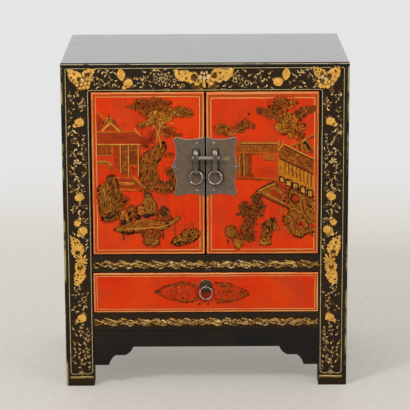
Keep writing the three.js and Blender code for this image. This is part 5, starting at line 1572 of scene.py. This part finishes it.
def gallery(pen):
    """A long roofed gallery that turns and runs down to the right, with a wall and its windows."""
    roof = [36+52j, 39+49.6j, 74+50j, 77+53j, 73+59.6j, 60+59j, 35.6+59.4j]
    pen.fill(roof, TILE)
    hatch(pen, roof, 120, 92, (UMBER, OLIVE, OCHRE, EMBER, HONEY), 3, 0.7)
    pen.straight([39.6+50.6j, 73+50.8j], 1, GILT, 3)
    pen.straight([39+51.8j, 73+51.9j], 0.5, SOOT, 3)
    pen.line([38+52.6j, 39.6+48.6j, 40.4+45.8j], 1.1, UMBER, 3, "tail")
    pen.straight([36+60j, 60+59.8j, 76+61j], 0.9, OCHRE, 3)
    pen.straight([36+61j, 60+61j], 0.5, SOOT, 2)
    posts = [35.6+60j, 47.6+60.6j, 48.4+82j, 36+82.6j]
    pen.panel(posts, UMBER)
    hatch(pen, posts, 90, 90, (OCHRE, SOOT, SIENNA, OLIVE), 2.8, 0.5)
    for x, tone, width in (
        (37.4, OCHRE, 0.9), (40, SOOT, 0.6), (41.6, GILT, 0.6), (46, SIENNA, 0.9), (48.4, SOOT, 0.7),
    ):
        pen.straight([x + 60j, x + 0.6 + 82j], width, tone, 3)
    for row in (
        ([35+83j, 52+83.8j, 74+85.8j], 1.2, UMBER, 2), ([52+83j, 73.6+85j], 0.6, OCHRE, 3),
        ([35+84.4j, 60+85.6j], 0.5, INK, 2),
    ):
        pen.straight(*row)
    pen.panel([36+79j, 52+80.6j, 52+82.6j, 36+82j], SIENNA, 1)
    for x in (53.6, 57.6):
        pen.straight([x + 60.6j, x + 62.8j], 0.5, GILT, 3)
    box = [61+61.4j, 71.4+61.8j, 71+67.6j, 60.6+66.8j]
    pen.panel(box, OCHRE, 1)
    hatch(pen, box, 24, 90, (SIENNA, BRICK, UMBER), 1.6, 0.5, 2)
    pen.straight([60.6+66.8j, 71+67.6j], 0.6, SIENNA, 3)
    for row, (start, end) in enumerate(((55, 72), (52, 71), (51, 74), (50, 73), (53, 74))):
        y = 73 + 2.1 * row
        pen.line([start + y * 1j, (start + end) / 2 + (y + 0.4) * 1j, end + (y + 0.2) * 1j], 0.6, BRICK, 1)
    for x in (75, 79.4):
        pen.line([x + 53j, x - 0.2 + 50j, x + 0.2 + 47.2j], 1.2, GILT, 4, "tail")
    slope = [75.6+57.6j, 80+53.6j, 94+60.6j, 108.4+67.4j, 108.4+79.6j, 96+74j, 83+68j, 74.6+64.6j]
    pen.panel(slope, TILE, 1)
    hatch(pen, slope, 150, 24, (TILE, EMBER, SIENNA, HONEY, UMBER), 4, 0.7, 2)
    pen.line([74.4+57.6j, 77+54.6j, 80.4+52j, 94+59j, 108.6+65.8j], 1, GILT, 4, "even")
    pen.straight([80.4+53.6j, 94+60.4j, 108.6+67.2j], 1.1, SOOT, 4)
    wall = [74.8+65.6j, 82+69j, 95+75j, 108.4+81.4j, 108.4+104j, 98+99j, 88+93j, 75+86j]
    pen.panel(wall, HONEY, 1)
    hatch(pen, wall, 110, 90, (OCHRE, GILT, HONEY, OLIVE), 3.6, 0.8, 2)
    pen.straight([76+65j, 83+68.4j, 95+74j, 108.4+80.6j], 1.2, SOOT, 4)
    for column in range(8):
        x = 81 + 3.6 * column
        y = 68.6 + 1.68 * column
        pen.straight([x + y * 1j, x + 0.2 + (y + 10.5) * 1j], 0.8, BARK, 4)
    pen.straight([74.6+58j, 74.2+72j, 75+86j], 0.8, OCHRE, 4)
    for left, top, wide, tall in (
        (76, 82, 4.2, 5), (82, 84.6, 5.2, 6), (88.6, 88, 5, 6.4), (96, 91, 4.8, 6.4), (102.6, 94.6, 5, 6.4),
    ):
        rim = [left + top * 1j, left + wide + (top + 1.2) * 1j,
            left + wide + (top + tall + 1.2) * 1j, left + (top + tall) * 1j]
        pen.panel(rim, GILT, 3)
        pen.straight(rim + rim[:1], 1.35, INK, 6)
    gable = [86+53.2j, 92+51.6j, 97+49.8j, 100.4+47j, 104.6+45j, 108.6+43.2j]
    pen.panel([91+53j, 98+50j, 102+47j, 108.4+56j, 108.4+62j, 96+58j], EMBER, 1)
    cloud(pen, 96+45.4j, 3.4, 4, 26, BROWNS, STAIN)
    foliage(pen, 99+54j, 7, 4.4, 60, BROWNS, 2, 0.8, 2)
    foliage(pen, 101+57j, 3.4, 3, 30, GOLDS, 1.8, 0.8, 3)
    pen.line([98+47.6j, 101+51.6j, 105+57.6j], 3, INK, 4)
    for beam, width, tone in (
        ([92.6+51.8j, 92.2+57j], 1.7, OCHRE), ([97+50.2j, 97.6+59.6j], 1.7, OCHRE),
        ([88.6+52.6j, 88.4+55j], 1.2, OCHRE), ([94.6+51j, 95+58j], 0.8, SIENNA),
        ([90.4+52.6j, 90.6+55.6j], 0.8, SIENNA), ([100.6+48j, 104+52j, 108+57j], 1.1, OCHRE),
        ([99+52j, 101.6+55.6j, 101.6+60j], 1, OCHRE), ([104.4+46.4j, 108.4+44.6j], 1, SOOT),
    ):
        pen.line(beam, width, tone, 5, "even")
    for row in (
        (gable, 1.7, OCHRE, 5, "even"), ([p + 1.1j for p in gable[3:]], 0.8, SOOT, 4, "even"),
        (gable[2:4], 0.8, GILT, 6, "even"),
    ):
        pen.line(*row)


def fence(pen):
    ground = [53.6+95.6j, 62+92j, 71+88j, 78+90j, 84.4+95j, 84+105j, 86+111j, 78+108.4j, 66+102.4j, 56+98j]
    pen.fill(ground, UMBER)
    hatch(pen, ground, 120, 28, (OCHRE, OLIVE, SOOT, GILT), 2.2, 0.5)
    pen.panel([65+98j, 70.6+94j, 78.6+100j, 76+104j], BRICK, 3)
    hatch(pen, [65+98j, 70.6+94j, 78.6+100j, 76+104j], 22, 35, (SIENNA, UMBER), 1.8, 0.4, 4)
    pen.panel([73+89j, 78+90.6j, 83+95j, 81+97.6j, 76+94j], BRICK, 3)
    mottle(pen, ground, 50, (OLIVE, OCHRE, EMBER, BARK), 1.1, 1)
    for row in (
        ([52.6+96.2j, 62+91j, 71+86.8j], 1.4, SOOT, 3, "even"),
        ([56+95.6j, 64+92j, 71.6+89j], 0.9, GILT, 4, "even"),
        ([55+98.4j, 68+104.8j, 84+112j], 1.5, SOOT, 3, "even"),
        ([60+97j, 68+101.6j, 80+107.4j], 0.8, GILT, 4, "even"),
        ([64+97.6j, 70.4+93.4j, 79+99.8j, 76+104.6j, 64+97.6j], 0.8, OCHRE, 5, "even"),
        ([71.4+88j, 78.6+91j, 84.4+96j], 0.9, BARK, 5, "even"),
    ):
        pen.line(*row)


def right_trees(pen):
    for row in (
        (79 + 14j, 12.4, 5.8, 130, GOLDS, EMBER), (72 + 18j, 6, 4, 50, BROWNS, UMBER),
        (63 + 21.6j, 7, 3.6, 60, BROWNS, UMBER), (73 + 25j, 8, 4.8, 80, BROWNS, EMBER),
        (56.6 + 20.4j, 3.2, 3, 34, DARKS, UMBER), (84 + 28j, 10.4, 6.4, 120, BRIGHTS, OCHRE),
        (81 + 36j, 10.4, 6.4, 130, BRIGHTS, OCHRE), (91 + 38j, 8.6, 8.4, 130, BRIGHTS, EMBER),
        (95 + 24j, 5.6, 4.6, 60, DARKS, UMBER), (102 + 20j, 7, 3.4, 70, BROWNS, UMBER),
        (107 + 18.4j, 2.6, 2, 20, DARKS, BARK), (22 + 37.6j, 8.6, 4.8, 100, GOLDS, UMBER),
        (28 + 41.6j, 5.4, 3, 44, GOLDS, None), (38 + 36j, 5, 5, 70, BROWNS, UMBER),
        (45 + 34j, 6.6, 3.6, 70, BROWNS, None), (43 + 29.6j, 2, 2.2, 16, BROWNS, None),
    ):
        cloud(pen, *row)
    pen.dot(46.5+23.8j, 1.7, BRICK, 1)
    pen.dot(46.3+23.6j, 1.1, SOOT, 2)
    for limb, width in (
        ([82+38.6j, 84.2+42j, 87+46.4j, 90.4+51.4j], 1), ([84+42j, 80+36j, 78+30j, 80+24j], 0.6),
        ([85+44j, 90+38j, 92+31j, 90+25j], 0.6), ([80+31j, 74+27j, 66+23j, 58+21j], 0.5),
        ([90+33j, 96+25j, 103+20j, 109+17j], 0.6), ([80+25j, 82+18j, 88+13j], 0.5),
        ([31+44j, 36+39j, 42+35j, 50+33j], 0.5), ([30+43j, 25+39j, 17+38j], 0.5),
    ):
        pen.line(limb, width, GILT, 3, "tail")


def right_rocks(pen):
    mass = [85+95j, 91+91.6j, 97+97j, 103+101j, 108.4+104j, 108.6+136j, 104+135.4j, 100+137.4j, 96.6+140.4j,
        91+138.6j, 86+134j, 81+127j, 80+121j, 85+116j, 84+106j]
    rock(pen, mass, OLIVE, 240, 62, (OLIVE, UMBER, OCHRE, HONEY, EMBER), coat=1)
    foliage(pen, 87+127j, 7.6, 9.6, 140, (OCHRE, SIENNA, GILT, BRICK), 1.7, 0.5, 2)
    foliage(pen, 79+114j, 4.4, 3.4, 34, (OCHRE, SIENNA, GILT), 1.7, 0.5, 1)
    for row in (
        (91 + 103j, 5, BARK, 4, 1.05), (91 + 103j, 4.4, OCHRE, 4, 1.05), (91 + 103j, 3.6, BRICK, 5, 1.05),
    ):
        pen.dot(*row)
    foliage(pen, 91+103j, 3.2, 3.4, 26, (SIENNA, UMBER, BRICK), 1.4, 0.4, 5)
    pen.dot(96.4+127.6j, 2.1, RED_HOLE, 4, 1.4)
    pen.dot(106.4+128.4j, 2.6, RED_HOLE, 4, 0.8)
    foliage(pen, 103+103.6j, 3.6, 5.4, 46, RUSTS, 1.8, 0.6, 4)
    for limb, width, tone in (
        ([86.6+92.6j, 85.4+98j, 85+104j, 85.6+111j], 0.8, INK), ([92+93j, 95+98j, 100+99.6j], 0.8, INK),
        ([90.4+97.6j, 95+101j, 95+107j, 91+108.4j, 87.6+106j], 0.8, OCHRE),
        ([91.6+124j, 92.4+131j, 97+132.6j, 99+129j, 97.4+123j], 0.9, UMBER),
        ([98+104j, 99+113j, 103+121j, 108+124j], 1.1, SOOT),
        ([99.4+104j, 100.4+112.6j, 104.4+120j, 108+122.6j], 0.7, OCHRE),
        ([83.6+118j, 88+121j, 90.6+126j, 88+130.6j, 84+129j], 0.9, BARK),
        ([84.4+119.6j, 87.6+122.4j, 89+126j, 87+128.8j], 0.7, GILT),
        ([101+124j, 104+130j, 100+134j, 96+136.6j], 0.9, SOOT),
        ([86+112j, 90+111j, 94+113.4j, 95+117.6j], 0.9, BARK),
        ([87+113.4j, 90+112.6j, 93+114.8j, 93.6+118j], 0.7, GILT),
        ([102+108j, 105+112j, 104+117j], 0.9, SOOT), ([88+114j, 93+117j, 100+121.6j, 104+128j], 0.8, SOOT),
    ):
        pen.line(limb, width, tone, 5, "tail")
    hatch(pen, [99+130j, 108+130j, 108.4+136j, 103+134j], 24, 20, DARKS, 2.4, 0.7, 2)


def garden(pen):
    """Shrubs and small figures in front of the gallery."""
    for row in (
        (42.6 + 111.6j, 5.6, 5.6, 70, DARKS, SOOT), (53.6 + 103.6j, 5, 5.6, 70, DARKS, SOOT),
        (57 + 110j, 6, 4.6, 60, BROWNS, SOOT), (51.6 + 116j, 8.6, 6, 110, DARKS, UMBER),
        (38.6 + 118j, 3.6, 1.4, 16, DARKS, SOOT), (47.6 + 123j, 6, 5.6, 70, DARKS, UMBER),
        (44.6 + 130.6j, 6.6, 5, 70, DARKS, UMBER), (46.6 + 139j, 6, 5.6, 80, BROWNS, SOOT),
        (37 + 139j, 4, 4, 40, BROWNS, EMBER),
    ):
        cloud(pen, *row)
    foliage(pen, 53+134.6j, 2.4, 1.4, 14, DARKS, 1.4, 0.5)
    foliage(pen, 57+127.6j, 5, 2.2, 22, RUSTS, 1.6, 0.45)
    robe(pen, [25+131j, 28+129.2j, 32.6+130j, 34.6+134.6j, 33+139j, 28+139.6j, 25+136j], OLIVE,
        [[27+132j, 29+136j], [31+131.6j, 31.6+136j]])
    hatch(pen, [26+131j, 32+130.6j, 34+134.6j, 32+138j, 28+138.6j], 22, 60, GOLDS, 1.4, 0.5, 4)
    foliage(pen, 26.6+142.4j, 1.6, 3, 20, DARKS, 1.4, 0.7, 2)
    foliage(pen, 35.6+137j, 3.4, 3.2, 40, DARKS, 1.4, 0.6, 2)
    robe(pen, [32+142.6j, 36.6+141j, 41.4+143j, 40.4+147j, 35.6+150.4j, 33+147.6j], OCHRE,
        [[35+143.6j, 36+148j], [38.6+143j, 38+147j]], UMBER)
    robe(pen, [61+127j, 64+124.4j, 68+127j, 68.6+134j, 67.4+141j, 67+146j, 58+146.4j, 58.4+139j, 60+133j],
        UMBER, [[62+128j, 61+136j]])
    mottle(pen, [61.8+129j, 65.6+128j, 67+133j, 65.4+140.6j, 61.6+140.6j], 22, (INK, SOOT, SOOT, STAIN), 1,
        5)
    mottle(pen, [66+121.6j, 71.6+121.6j, 73+125j, 67+126j], 10, (INK, SOOT, BARK), 1, 5)
    pen.fill([58+141.4j, 62+140.6j, 67+141.4j, 66.6+146.2j, 58+146j], OCHRE, 4)
    cloud(pen, 67+126j, 4.4, 3.4, 60, GOLDS, OLIVE)
    robe(pen, [68+124j, 71+122.4j, 72.6+127j, 75+131.6j, 71.6+132.6j, 69+130.6j], OLIVE,
        [[70.4+125j, 71+130j]])
    foliage(pen, 59+130j, 2.4, 2.6, 20, DARKS, 1.4, 0.5, 3)
    foliage(pen, 60+136j, 2.2, 4, 24, GOLDS, 1.4, 0.5, 4)


def door_scene(side, columns, upper, lower):
    """A door's painted landscape, in an upper and a lower piece."""
    low, high = place(f"{side}_door_panel")
    halves = []
    for half, drawers in (("upper", upper), ("lower", lower)):
        paint = Paint(f"{side}_door_{half}_scene", f"{side}_door", low.y)
        pen = Sheet(paint, low, high, columns)
        for draw in drawers:
            draw(pen)
        halves.append(paint)
    return halves


make_camera()
make_light()
make_floor()
dress_frame()

gilt = gilt_paint()
painted = [
    frame_lines(),
    scroll_band("middle_scroll", middle_low, MIDDLE_SCROLL, TAGS),
    scroll_band("bottom_scroll", bottom_low, BOTTOM_SCROLL),
    drawer_gilding(),
    top_rail_gilding(),
    post_gilding("left_post_gilding", flip=False),
    post_gilding("right_post_gilding", flip=True),
    *door_scene("left", LEFT_COLUMNS, (left_trees, pavilion, terrace), (left_rocks, table_group)),
    *door_scene("right", RIGHT_COLUMNS, (right_trees, gallery, fence), (right_rocks, garden)),
]
for paint in painted:
    paint.done(gilt)
